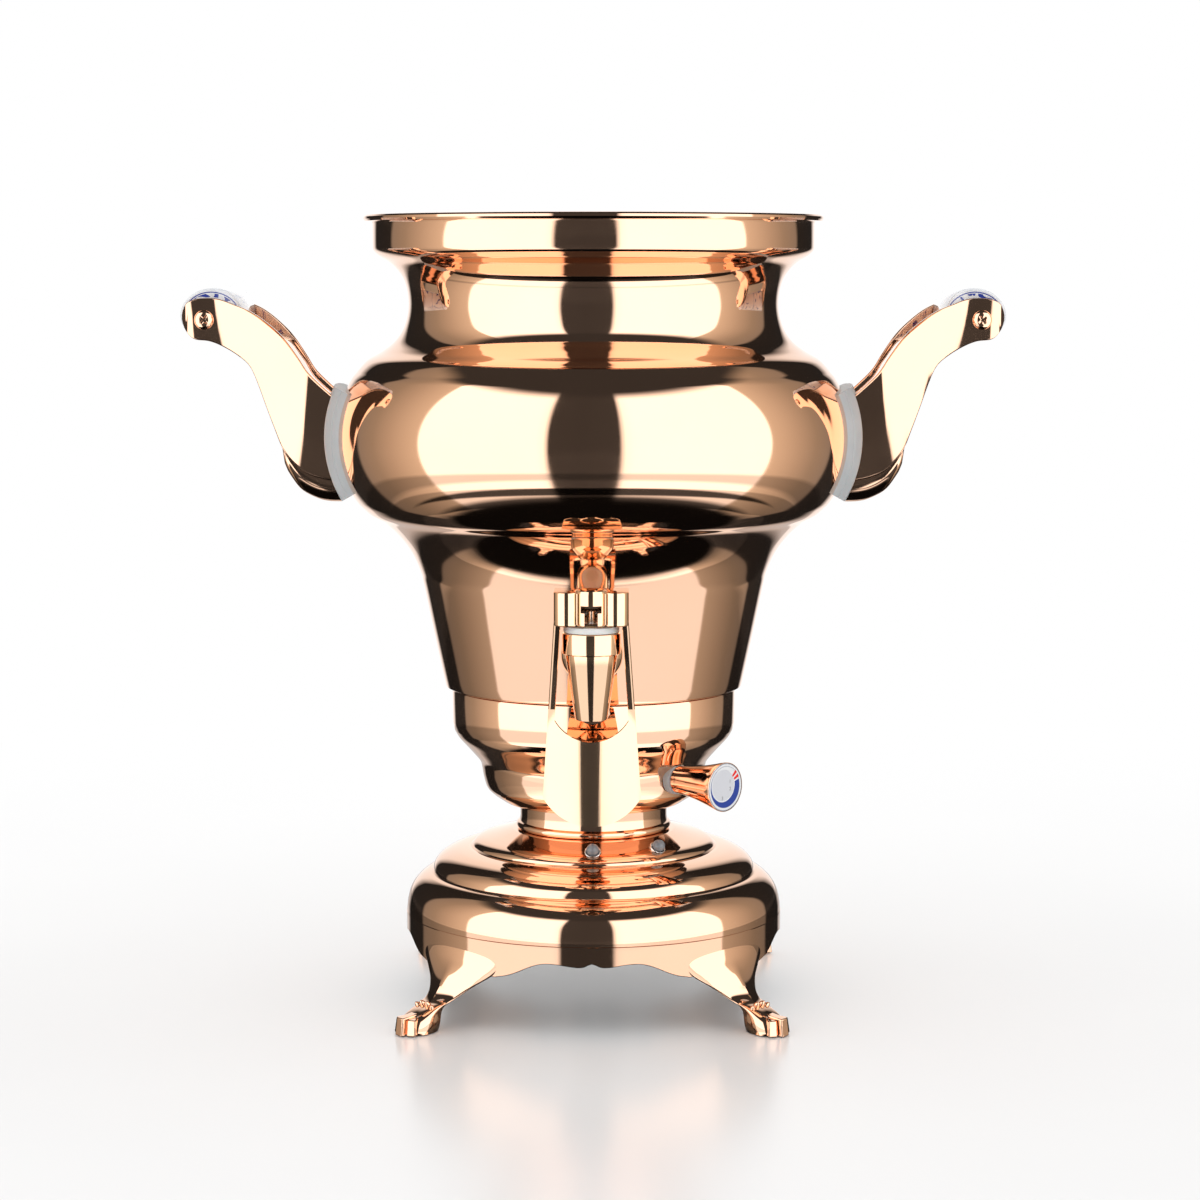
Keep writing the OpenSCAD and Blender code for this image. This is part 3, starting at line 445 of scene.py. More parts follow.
def makeSilicone(name):
    material, tree, shader, _ = makePlain(name)
    shader.inputs["Subsurface Weight"].default_value = 0.12
    shader.inputs["Subsurface Scale"].default_value = 2 * mm
    addBump(tree, shader, objectNoise(tree, 900, 2), 0.12, 0.04)
    return material


def makeRubber():
    material, tree, shader, _ = makePlain("blackRubber")
    addBump(tree, shader, objectNoise(tree, 1200, 2), 0.2, 0.05)
    return material


def makeLampGlass():
    material, _, shader, _ = makePlain("lampGlass")
    shader.inputs["Transmission Weight"].default_value = 0.3
    shader.inputs["IOR"].default_value = 1.49
    return material


finishes = {                       # by slot
    "copper": makeCopper("polishedCopper", copperTone["clean"], copperTone["warm"]),
    "tap_copper": makeCopper("tapCopper", copperTone["tap"], copperTone["tapWarm"]),
    "steel": makeSteel(),
    "grey_silicone": makeSilicone("greySilicone"),
    "white_silicone": makeSilicone("whiteSilicone"),
    "black_rubber": makeRubber(),
    "lamp_glass": makeLampGlass(),
    "bezel_metal": makePlain("brightBezel")[0],
}
print("scene: materials ready")


# Studio: pale backdrop, bright side panels, a dark ceiling and a dark gap towards the camera
studio = {
    "strength": 2.0,
    "aside": (0.0131, -0.0741, -0.004),    # the dark gap lies a little to the left: at 0, slope and least
    "around": [                    # azimuth from the camera's side, 0 to 180 degrees, as shares of 360
        (0.0, grey(0.028)), (0.043, grey(0.03)), (0.049, grey(0.9)), (0.06, grey(1.0)),
        (0.2305, grey(1.0)), (0.2345, (0.40, 0.355, 0.29)), (0.2845, (0.27, 0.235, 0.19)),
        (0.319, (0.187, 0.165, 0.133)), (0.355, (0.15, 0.135, 0.115)),
        (0.3625, grey(0.012)), (0.43, grey(0.01)), (0.45, grey(0.5)), (0.5, grey(0.6)),
    ],
    "upper": (0.72, 0.82),         # sine of the elevation between which the ceiling takes over
    "ceiling": 0.022,
    "floorRadius": 2400 * mm, "floorHeight": -0.4 * mm,
    "floorFade": (0.2, 0.75),      # metres from the axis, between which the floor turns plain white
    "shine": 0.1,
    # the floor's tone in the metal near the axis, by how flat the view on the floor is; its dark stop is
    # painted shadow under the vessel
    "nearShineAndShadow": ((0.19, grey(0.07)), (0.222, grey(1.0)), (0.4, grey(1.0)), (0.5, grey(0.64))),
    # Further zones of the floor as the metal sees it: metres from the axis between which each takes over, and
    # its tones by how flat the view on the floor is, or plain white; their dark tones are painted shadow of
    # the vessel on the floor
    "zones": [(0.23, 0.236, ((0.235, grey(0.07)), (0.275, grey(0.56)))),
              (0.3, 0.31, ((0.36, grey(0.04)), (0.38, grey(0.56)))),
              (0.366, 0.376, ((0.46, grey(1.0)), (0.5, grey(0.56)))),
              (0.56, 0.62, None)],
}


def makeWorld():
    world = bpy.data.worlds.new("studioWorld")
    bpy.context.scene.world = world
    world.use_nodes = True
    tree = world.node_tree
    x, y, z = splitCoords(tree, "Generated")
    turn = mathNode(tree, "ARCTAN2", x, mathNode(tree, "MULTIPLY", y, -1.0))
    turn = mathNode(tree, "DIVIDE", turn, math.tau)
    start, slope, least = studio["aside"]
    shift = mathNode(tree, "MULTIPLY", mathNode(tree, "ABSOLUTE", turn), slope)
    shift = mathNode(tree, "MAXIMUM", mathNode(tree, "ADD", shift, start), least)
    turn = mathNode(tree, "ABSOLUTE", mathNode(tree, "ADD", turn, shift))
    ceiling = rangeOf(tree, z, *studio["upper"], "SMOOTHSTEP")
    panels = mixColor(tree, ceiling, rampOf(tree, turn, studio["around"]), grey(studio["ceiling"]))
    rays = tree.nodes.new("ShaderNodeLightPath")
    seen = mixColor(tree, rays.outputs["Is Glossy Ray"], grey(1 / studio["strength"]), panels)
    background = tree.nodes["Background"]
    tree.links.new(seen, background.inputs["Color"])
    background.inputs["Strength"].default_value = studio["strength"]


def floorShineAndShadow(tree, away):        # the floor's tone in the metal, with painted shadow near the vessel
    flat = tree.nodes.new("ShaderNodeLayerWeight").outputs["Facing"]
    tone = rampOf(tree, flat, studio["nearShineAndShadow"])
    for start, end, stops in studio["zones"]:
        beyond = rangeOf(tree, away, start, end)
        tone = mixColor(tree, beyond, tone, rampOf(tree, flat, stops) if stops else grey(1.0))
    return tone


def makeFloor():
    startFresh()
    bpy.ops.mesh.primitive_circle_add(vertices=96, radius=studio["floorRadius"], fill_type="NGON",
                                      location=(0, 0, studio["floorHeight"]))
    floor = bpy.context.object
    floor.name = "studioFloor"
    material, tree, shader, _ = makePlain("studioFloor")
    shader.inputs["Specular IOR Level"].default_value = 0.4
    coords = tree.nodes.new("ShaderNodeTexCoord")
    length = tree.nodes.new("ShaderNodeVectorMath")
    length.operation = "LENGTH"
    tree.links.new(coords.outputs["Object"], length.inputs[0])
    away = length.outputs["Value"]
    white = tree.nodes.new("ShaderNodeEmission")
    white.inputs["Color"].default_value = (*grey(1.0), 1)
    fade = rangeOf(tree, away, *studio["floorFade"], "SMOOTHSTEP")
    table = mixShader(tree, fade, shader.outputs["BSDF"], white.outputs["Emission"])
    # the floor as the metal sees it: a mirror whose tone carries painted shadow near the vessel
    mirror = tree.nodes.new("ShaderNodeBsdfGlossy")
    mirror.inputs["Roughness"].default_value = studio["shine"]
    tree.links.new(floorShineAndShadow(tree, away), mirror.inputs["Color"])
    rays = tree.nodes.new("ShaderNodeLightPath")
    surface = mixShader(tree, rays.outputs["Is Glossy Ray"], table, mirror.outputs["BSDF"])
    tree.links.new(surface, tree.nodes["Material Output"].inputs["Surface"])
    floor.data.materials.append(material)


makeWorld()
makeFloor()
print("scene: studio ready")


# Vessel: one spun wall, copper outside and steel inside
vessel = {
    "wall": 1.2,
    "foot": [(52.1, 129.6), (59.2, 129.6), (60.5, 129.75), (61.4, 130.4), (61.75, 131.6)],
    "bowl": [(61.75, 131.6), (66.1, 152.0), (70.25, 172.0), (71.75, 178.1), (75.5, 186.2), (80.9, 193.2),
             (87.0, 198.6), (92.6, 201.9), (96.6, 205.6)],
    "belly": ((60.0, 233.3), 46.0, -36, 33),
    "collar": [(98.1, 258.8), (92.9, 264.7), (86.4, 268.6), (81.2, 272.8), (77.5, 278.8), (75.85, 287.6),
               (77.5, 296.9), (82.1, 303.2), (87.6, 306.8), (90.0, 309.2), (90.35, 311.6)],
    "lipFoot": [(90.35, 312.0), (90.35, 320.0)],
    "lip": [(90.7, 320.75), (92.6, 320.78), (93.6, 321.1), (94.05, 321.9), (94.0, 322.8), (93.3, 323.45),
            (92.2, 323.66), (91.0, 323.62), (90.0, 323.2), (89.45, 322.3), (89.25, 321.0)],
    "inside": [(89.22, 320.0), (89.22, 311.7), (88.8, 309.8), (87.2, 308.0)],
    "heel": [(59.9, 131.0), (58.9, 130.85), (52.1, 130.8), (52.1, 129.6)],
    "innerSpan": (131, 308),       # heights between which the inside runs parallel to the outside
    "steelTop": 322.6, "steelFloor": 60,
}


def makeVessel():
    outside = vessel["foot"] + smoothRun(vessel["bowl"], 6)[1:-1] + arcRun(*vessel["belly"], 40)
    outside += smoothRun(vessel["collar"], 6)[1:] + vessel["lipFoot"] + vessel["lip"]
    wallPath = outside[len(vessel["foot"]):-len(vessel["lip"]) - 2]
    low, high = vessel["innerSpan"]
    inner = [p for p in innerSide(wallPath, vessel["wall"]) if low < p.y < high]
    profile = outside + vessel["inside"] + inner[::-1] + vessel["heel"]
    shell = turnPiece("vesselShell", profile, 192, 32)
    mountPiece(shell, "vessel_shell", "copper")
    shell.data.materials.append(finishes["steel"])
    selectOnly(shell)
    bpy.ops.object.mode_set(mode="EDIT")
    bpy.ops.mesh.select_mode(type="FACE")
    bpy.ops.mesh.select_all(action="DESELECT")
    bpy.ops.object.mode_set(mode="OBJECT")
    for face in shell.data.polygons:
        spot = face.center
        facing = face.normal.x * spot.x + face.normal.y * spot.y
        onFloor = face.normal.z > 0.5 and math.hypot(spot.x, spot.y) < vessel["steelFloor"] * mm
        face.select = (facing < 0 or onFloor) and spot.z < vessel["steelTop"] * mm
    shell.active_material_index = 1
    bpy.ops.object.mode_set(mode="EDIT")
    bpy.ops.object.material_slot_assign()
    bpy.ops.object.mode_set(mode="OBJECT")


makeVessel()
print("scene: vessel ready")

# Heater housing: waisted tier under the band
housing = {
    "wall": 1.2,
    "tier": [(33.4, 80.6), (36.6, 81.5), (39.3, 83.1), (42.6, 85.5), (44.6, 87.9), (45.8, 92.0), (46.5, 96.0),
             (47.1, 98.3), (48.6, 100.4), (52.3, 104.6), (56.2, 108.9), (58.1, 112.2)],
    "band": [(58.66, 115.3), (58.66, 128.2), (58.45, 128.9), (57.7, 129.35)],
    "shelf": [(50.8, 129.35), (50.8, 128.2), (57.4, 128.2)],
    "sole": [(32.5, 81.8), (4.0, 81.8), (4.0, 80.6)],
    "innerLow": 81.9,
    "knobHole": (4.9, 60), "knobHoleOut": 40, "knobHeight": 95.8, "knobTurn": 45,
}


def onKnob(out=0):                 # local Z runs along the knob's axis
    return outwards(housing["knobHeight"], housing["knobTurn"], out)


def makeHousing():
    outside = housing["sole"][-1:] + smoothRun(housing["tier"], 6) + housing["band"]
    inner = [p for p in innerSide(outside[3:-3], housing["wall"]) if p.y > housing["innerLow"]]
    tier = turnPiece("heaterHousing", outside + housing["shelf"] + inner[::-1] + housing["sole"], 160, 32)
    cutRound(tier, *housing["knobHole"], onKnob(housing["knobHoleOut"]))
    finishShape(tier, 32)
    mountPiece(tier, "heater_housing", "copper")


pedestal = {                       # a neck with a bead round its foot
    "foot": [(29.4, 70.05), (30.6, 70.05)],
    "bead": ((30.6, 71.65), 1.57, -80, 75),
    "neck": [(30.75, 73.4), (30.5, 75.4), (30.55, 79.5), (30.58, 80.45), (29.4, 80.45), (29.4, 70.05)],
}


def makePedestal():
    profile = pedestal["foot"] + arcRun(*pedestal["bead"], 12) + pedestal["neck"]
    mountPiece(turnPiece("pedestalNeck", profile, 128, 32), "pedestal_neck", "copper")


# Base dome: three swelling tiers with creases between them, and holes for lamps and cord
dome = {
    "wall": 1.2,
    "lower": [(78.1, 36.1), (77.75, 39.6), (76.7, 43.8), (74.9, 47.1), (72.3, 49.8), (69.6, 51.6),
              (67.7, 52.4)],
    "middle": [(67.0, 53.0), (66.8, 54.2), (66.0, 56.0), (64.2, 58.0), (61.2, 59.9), (57.2, 61.5),
               (53.2, 62.4), (51.3, 62.6)],
    "upper": [(50.4, 63.1), (50.1, 64.0), (48.8, 65.2), (46.4, 66.3), (43.3, 67.2), (39.6, 68.2),
              (36.4, 69.1), (33.6, 69.9)],
    "crown": [(4.0, 69.9), (4.0, 68.7), (33.0, 68.7)],
    "rim": [(76.9, 36.1), (78.1, 36.1)],
    "innerSpan": (36.2, 68.6),
    "lampHole": (3.48, 14), "glandHole": (5.22, 30), "glandOut": 76, "glandHeight": 44.84,
}
lamps = {
    "kinds": (("power", 0), ("heat", 37)),     # with their turns round the dome
    "out": 43.5, "height": 67.1, "tilt": 35,
    "lensFoot": [(0, -3.35), (1.5, -3.35), (1.6, -3.2), (1.6, -0.1)],
    "lensBulge": ((0, 1.69), 2.58, -48, 89), "lensTop": [(0, 4.27)],
    "bezel": [(2.0, -4.1), (3.3, -4.1), (3.36, -4.0), (3.36, 0.55), (3.3, 0.8), (3.1, 0.95), (2.85, 0.9),
              (2.72, 0.7), (2.5, 0.25), (2.0, 0.0), (2.0, -4.1)],
}


def onLamp(turn):
    return turned(turn, "Z") @ moved(0, -lamps["out"], lamps["height"]) @ turned(lamps["tilt"], "X")


def makeDome():
    outside = [p for tier in ("lower", "middle", "upper") for p in smoothRun(dome[tier], 5)]
    low, high = dome["innerSpan"]
    inner = [p for p in innerSide(outside, dome["wall"]) if low < p.y < high]
    shell = turnPiece("baseDome", outside + dome["crown"] + inner[::-1] + dome["rim"], 192, 24)
    for _, turn in lamps["kinds"]:
        cutRound(shell, *dome["lampHole"], onLamp(turn))
    cutRound(shell, *dome["glandHole"], outwards(dome["glandHeight"], 180, dome["glandOut"]))
    finishShape(shell, 24)
    mountPiece(shell, "base_dome", "copper")


def makeLamps():
    lensProfile = lamps["lensFoot"] + arcRun(*lamps["lensBulge"], 22) + lamps["lensTop"]
    for kind, turn in lamps["kinds"]:
        lens = turnAt(kind + "LampLens", lensProfile, onLamp(turn), 48, 50)
        mountPiece(lens, kind + "_lamp_lens", "lamp_glass")
        bezel = turnAt(kind + "LampBezel", lamps["bezel"], onLamp(turn), 48, 50)
        mountPiece(bezel, kind + "_lamp_bezel", "bezel_metal")


makeHousing()
makePedestal()
makeDome()
makeLamps()
print("scene: base pieces ready")


# Handles: two cheeks that spread from the pad to the grip, a web between them, pad, grip and bolt.
# The right handle is made and then mirrored. Outlines are shares of its reach and height
handle = {
    "from": (106.0, 206.9), "reach": 58.5, "height": 83.1, "thick": 3.2,
    "rootHalf": 18.5, "gripHalf": 33.0,
    "clear": 5.02,                 # how far it stays off the belly, for the pad
    "loftFrom": -0.1, "loftStep": 0.02,    # shares of the reach
    "top": [(-0.12, 0.46), (0.008, 0.532), (0.161, 0.634), (0.233, 0.712), (0.331, 0.81), (0.43, 0.878),
            (0.543, 0.937), (0.648, 0.971), (0.761, 1.0), (0.893, 1.0), (0.961, 0.981), (0.99, 0.948),
            (1.0, 0.915)],
    "low": [(-0.12, 0.1), (0.013, 0.11), (0.134, 0.13), (0.234, 0.168), (0.333, 0.253), (0.398, 0.373),
            (0.449, 0.478), (0.502, 0.591), (0.552, 0.674), (0.633, 0.728), (0.731, 0.771),
            (0.818, 0.795), (0.918, 0.805), (0.974, 0.845), (0.995, 0.885), (1.0, 0.91)],
    "webTop": [(-0.12, 0.44), (0.008, 0.512), (0.161, 0.612), (0.233, 0.69), (0.331, 0.785), (0.36, 0.77),
               (0.41, 0.7), (0.465, 0.6)],
    "webLow": [(-0.12, 0.0), (0.035, 0.001), (0.13, 0.018), (0.231, 0.058), (0.297, 0.118), (0.338, 0.172),
               (0.352, 0.237), (0.375, 0.36), (0.42, 0.478), (0.465, 0.59)],
    "spread": [(-0.12, 0), (0.11, 0), (0.23, 0.05), (0.36, 0.224), (0.48, 0.475), (0.61, 0.747),
               (0.69, 0.873), (0.766, 0.952), (0.85, 0.991), (0.92, 1), (1.02, 1)],
    "grip": [(0.98, -0.06), (0.88, 0.41), (0.56, 0.82), (0.165, 1.02), (-0.21, 1.05), (-0.55, 0.96),
             (-0.82, 0.69), (-1, 0.22), (-1, -0.4), (-0.76, -0.8), (-0.08, -0.88), (0.53, -0.76),
             (0.86, -0.45)],
    "gripHalfLength": 11.92, "gripHalfHeight": 10.2, "gripPlace": (0.82, 0.92),
    "gripGap": 0.35, "bolt": (0.8475, 0.898),
    "cheekTip": (0.9, 0.92, 0.94, 0.955, 0.967, 0.977, 0.985, 0.991, 0.996, 0.999),
    "webTip": (0.35, 0.36, 0.37, 0.385, 0.4, 0.42, 0.44, 0.455, 0.463), "webInset": 2.2,
}
pad = {
    "side": [(-1.0, 7.5), (0.2, 6.9), (2.1, 4.6), (2.35, 4.1), (2.6, 4.15), (4.3, 1.7), (4.75, 1.0),
             (4.97, -0.1)],        # out from the belly, and half width beyond the handle's root
    "from": 25, "sweep": 56.2,     # degrees round the belly's ring
}
bolt = {
    "profile": [(0, -69.4), (1.6, -69.4), (1.88, -69.0), (1.88, 0.02), (3.745, 0.02), (3.875, 0.2),
                (3.875, 0.75), (3.595, 1.3), (2.995, 1.75), (1.995, 2.08), (0, 2.16)],
    "recess": ((-1.95, 1.95), (-0.425, 0.425), (1.15, 2.65)), "recessTurns": (38, 128),
    "nutRadius": 3.705, "nutHeight": 2.85, "nutBore": 1.95,
}


def levelAt(run, x):               # second value of a run where its first value is x
    for a, b in zip(run, run[1:]):
        if a[0] <= x <= b[0]:
            return a[1] + (b[1] - a[1]) * (x - a[0]) / max(b[0] - a[0], 1e-9)
    return run[-1][1] if x > run[-1][0] else run[0][1]


handleRuns = {key: smoothRun(handle[key], 8) for key in ("top", "low", "webTop", "webLow", "spread")}


def cheekOuter(share):
    spread = levelAt(handleRuns["spread"], share)
    return handle["rootHalf"] + (handle["gripHalf"] - handle["rootHalf"]) * spread


def handlePoint(share, level, y):
    return Vector((handle["from"][0] + share * handle["reach"], y,
                   handle["from"][1] + level * handle["height"])) * mm


def roundedRing(halfY, halfZ, top, low, steps=4):     # corner radii at the top and at the bottom
    ring = []
    for corner, (sideY, sideZ) in enumerate(((1, 1), (-1, 1), (-1, -1), (1, -1))):
        radius = min(top if sideZ > 0 else low, halfY * 0.98, halfZ * 0.98)
        for k in range(steps + 1):
            a = math.radians(90 * corner + 90 * k / steps)
            ring.append(Vector((0, sideY * (halfY - radius) + radius * math.cos(a),
                                sideZ * (halfZ - radius) + radius * math.sin(a))) * mm)
    return ring


def loftRings(name, ring, places):  # places: centre in metres, scale against the first ring
    centre, size = places[0]
    piece = drawRing(name, [p + centre for p in ring])
    for place, scale in places[1:]:
        bpy.ops.mesh.extrude_region_move(TRANSFORM_OT_translate={"value": place - centre})
        ratio = [now / before for now, before in zip(scale, size)]
        bpy.ops.transform.resize(value=ratio, center_override=place)
        centre, size = place, scale
    closeEnds(piece, 38)
    return piece


def loftShares(count, tip):        # even steps out of the belly, then closer ones near the tip
    return [handle["loftFrom"] + handle["loftStep"] * k for k in range(count)] + list(tip)


def bellyCutter(grow):             # the belly's ring, made larger by grow
    centre, radius = vessel["belly"][:2]
    arc = arcRun(centre, radius + grow, -89, 89, 60)
    return turnPiece("bellyCutter", [(0, arc[0].y)] + arc + [(0, arc[-1].y)], 96)


def makeCheek(side):
    places = []
    for share in loftShares(50, handle["cheekTip"]):
        top, low = levelAt(handleRuns["top"], share), levelAt(handleRuns["low"], share)
        high = max((top - low) * handle["height"], 0.5)
        middle = handlePoint(share, (top + low) / 2, side * (cheekOuter(share) - handle["thick"] / 2))
        places.append((middle, (1, 1, high)))
    ring = roundedRing(handle["thick"] / 2, places[0][1][2] / 2, 0.9, 0.9)
    return loftRings("cheek", ring, places)


def makeWeb():
    places = []
    for share in loftShares(23, handle["webTip"]):
        top, low = levelAt(handleRuns["webTop"], share), levelAt(handleRuns["webLow"], share)
        high = max((top - low) * handle["height"], 0.8)
        half = cheekOuter(share) - handle["webInset"]
        places.append((handlePoint(share, (top + low) / 2, 0), (1, half, high)))
    ring = roundedRing(places[0][1][1], places[0][1][2] / 2, 1.5, 7, 6)
    return loftRings("web", ring, places)


def makeHandle():
    pieces = [makeCheek(1), makeCheek(-1), makeWeb()]
    for piece in pieces:
        cutWith(piece, bellyCutter(handle["clear"]))
        finishShape(piece, 38)
    return joinPieces(pieces[0], pieces[1:])


def makePad():
    centre, radius = vessel["belly"][:2]
    side = [(out, handle["rootHalf"] + half) for out, half in pad["side"]]
    out, half = side[-1]
    side += [(out, half * k / 4) for k in (3, 2, 1, 0)]
    section = [(out, -y) for out, y in side] + side[-2::-1]
    ring = [Vector((math.sqrt((centre[0] + radius + out) ** 2 - y * y), y, centre[1])) * mm
            for out, y in section]
    piece = drawRing("handlePad", ring)
    middle = Vector((centre[0], 0, centre[1])) * mm
    bpy.ops.transform.rotate(value=math.radians(pad["from"]), orient_axis="Y", center_override=middle)
    bpy.ops.mesh.spin(steps=28, angle=math.radians(pad["sweep"]), center=middle, axis=(0, -1, 0))
    closeEnds(piece, 30)
    softenEdges(piece, 0.7, 3, 50)
    finishShape(piece, 30)
    return piece


def makeGrip():
    middle = handlePoint(*handle["gripPlace"], 0) / mm
    length, height = handle["gripHalfLength"], handle["gripHalfHeight"]
    outline = [Vector((middle.x + p.x * length, 0, middle.z + p.y * height)) * mm
               for p in smoothRing(handle["grip"], 6)]
    piece = thickOutline("grip", outline, (0, mm, 0))
    bpy.ops.mesh.select_all(action="DESELECT")
    bpy.ops.object.mode_set(mode="OBJECT")
    ends = {}                      # points of both flat sides, by their place along X
    for vertex in piece.data.vertices:
        key = (round(vertex.co.x, 6), vertex.co.y > mm / 2)
        ends.setdefault(key, []).append(vertex.index)
    inner = handle["thick"] + handle["gripGap"]
    for (x, far), points in ends.items():
        for vertex in piece.data.vertices:
            vertex.select = vertex.index in points
        reach = (cheekOuter((x / mm - handle["from"][0]) / handle["reach"]) - inner) * mm
        bpy.ops.object.mode_set(mode="EDIT")
        bpy.ops.transform.translate(value=(0, reach - mm if far else -reach, 0))
        bpy.ops.mesh.select_all(action="DESELECT")
        bpy.ops.object.mode_set(mode="OBJECT")
    faceOutwards(piece)
    softenEdges(piece, 0.8, 3, 60)
    finishShape(piece)
    return piece


def boltAxis(y):                   # the grip bolt's axis, pointing to -Y, from the plane at y
    return Matrix.Translation(handlePoint(*handle["bolt"], y)) @ turned(90, "X")


def makeBolt():
    piece = turnPiece("gripBolt", bolt["profile"], 64, 40)
    for turn in bolt["recessTurns"]:
        slot = boxPiece(bolt["recess"])
        moveMesh(slot, turned(turn, "Z"))
        cutWith(piece, slot)
    softenEdges(piece, 0.08, 2, 55)
    finishShape(piece, 40)
    moveMesh(piece, boltAxis(-handle["gripHalf"]))
    return piece


def makeNut():
    startFresh()
    radius, depth = bolt["nutRadius"] * mm, bolt["nutHeight"] * mm
    bpy.ops.mesh.primitive_cylinder_add(vertices=6, radius=radius, depth=depth)
    piece = bpy.context.object
    piece.name = "gripNut"
    softenEdges(piece, 0.3, 3, 30)
    cutRound(piece, bolt["nutBore"], 6, Matrix.Identity(4), 32)
    finishShape(piece)
    moveMesh(piece, boltAxis(handle["gripHalf"] + bolt["nutHeight"] / 2))
    return piece


porcelainPrint = {                 # in mm
    "end": (29.2, 152, 0.52),      # the grip's half length, and how it shortens nearer than 152 to the axis
    "lines": ((1.5, 0.22), (2.5, 0.12), (23.0, 0.12), (24.2, 0.2)),    # in from the end, and half width
    "sprigBand": (12.8, 7.2), "sprigAbove": 0.9, "patchAbove": 0.5,
    "face": 0.75, "faceShift": 0.8,        # what counts as the end itself, and where its middle lies
    "faceLine": (0.9, 0.02), "faceBand": (0.78, 0.07), "faceAbove": 0.72,
    "blue": (0.035, 0.06, 0.36),
}


def makePorcelain():
    material, tree, shader, white = makePlain("porcelain")
    shader.inputs["Coat Weight"].default_value = 0.6
    shader.inputs["Coat Roughness"].default_value = 0.03

    def calc(operation, *values):
        return mathNode(tree, operation, *values)

    x, y, z = splitCoords(tree)
    out = calc("ABSOLUTE", x)
    # Border lines keep their distance from the grip's slanted end
    half, near, slant = porcelainPrint["end"]
    shorter = calc("MULTIPLY", calc("MAXIMUM", calc("SUBTRACT", near * mm, out), 0.0), slant)
    edge = calc("SUBTRACT", calc("SUBTRACT", half * mm, shorter), calc("ABSOLUTE", y))
    inked = 0.0
    for place, width in porcelainPrint["lines"]:
        inked = calc("MAXIMUM", inked, calc("COMPARE", edge, place * mm, width * mm))
    # Sprigs: curled strokes in a band between the border lines
    wave = tree.nodes.new("ShaderNodeTexWave")
    wave.wave_type = "RINGS"
    wave.rings_direction = "SPHERICAL"
    for socket, value in (("Scale", 46), ("Distortion", 7.5), ("Detail", 1.4), ("Detail Scale", 3.2)):
        wave.inputs[socket].default_value = value
    coords = tree.nodes.new("ShaderNodeTexCoord")
    tree.links.new(coords.outputs["Object"], wave.inputs["Vector"])
    stroke = calc("GREATER_THAN", wave.outputs["Fac"], porcelainPrint["sprigAbove"])
    patch = calc("GREATER_THAN", objectNoise(tree, 95, 1), porcelainPrint["patchAbove"])
    place, width = porcelainPrint["sprigBand"]
    band = calc("COMPARE", edge, place * mm, width * mm)
    inked = calc("MAXIMUM", inked, calc("MULTIPLY", calc("MULTIPLY", stroke, patch), band))
    # On the end itself a border follows the outline, with small strokes inside it
    middle = handlePoint(*handle["gripPlace"], 0)
    along = calc("SUBTRACT", out, middle.x - porcelainPrint["faceShift"] * mm)
    along = calc("DIVIDE", along, handle["gripHalfLength"] * mm)
    up = calc("DIVIDE", calc("SUBTRACT", z, middle.z), handle["gripHalfHeight"] * mm)
    fromMiddle = calc("SQRT", calc("ADD", calc("POWER", along, 2.0), calc("POWER", up, 2.0)))
    onFace = calc("LESS_THAN", edge, porcelainPrint["face"] * mm)
    line = calc("COMPARE", fromMiddle, *porcelainPrint["faceLine"])
    stroke = calc("GREATER_THAN", wave.outputs["Fac"], porcelainPrint["faceAbove"])
    stroke = calc("MULTIPLY", stroke, calc("COMPARE", fromMiddle, *porcelainPrint["faceBand"]))
    inked = calc("MAXIMUM", inked, calc("MULTIPLY", onFace, calc("MAXIMUM", line, stroke)))
    tree.links.new(mixColor(tree, inked, white, porcelainPrint["blue"]), shader.inputs["Base Color"])
    return material


def makeHandles():
    finishes["porcelain"] = makePorcelain()
    makers = [("handle", "handle", makeHandle, "copper"), ("pad", "handle_pad", makePad, "grey_silicone"),
              ("grip", "grip", makeGrip, "porcelain"), ("gripBolt", "grip_bolt", makeBolt, "copper"),
              ("gripNut", "grip_nut", makeNut, "copper")]
    for name, node, maker, slot in makers:
        right = maker()
        right.name = name + "Right"
        left = otherSide(right, name + "Left")
        mountPiece(right, node + "_right", slot)
        mountPiece(left, node + "_left", slot)


makeHandles()
print("scene: handles ready")


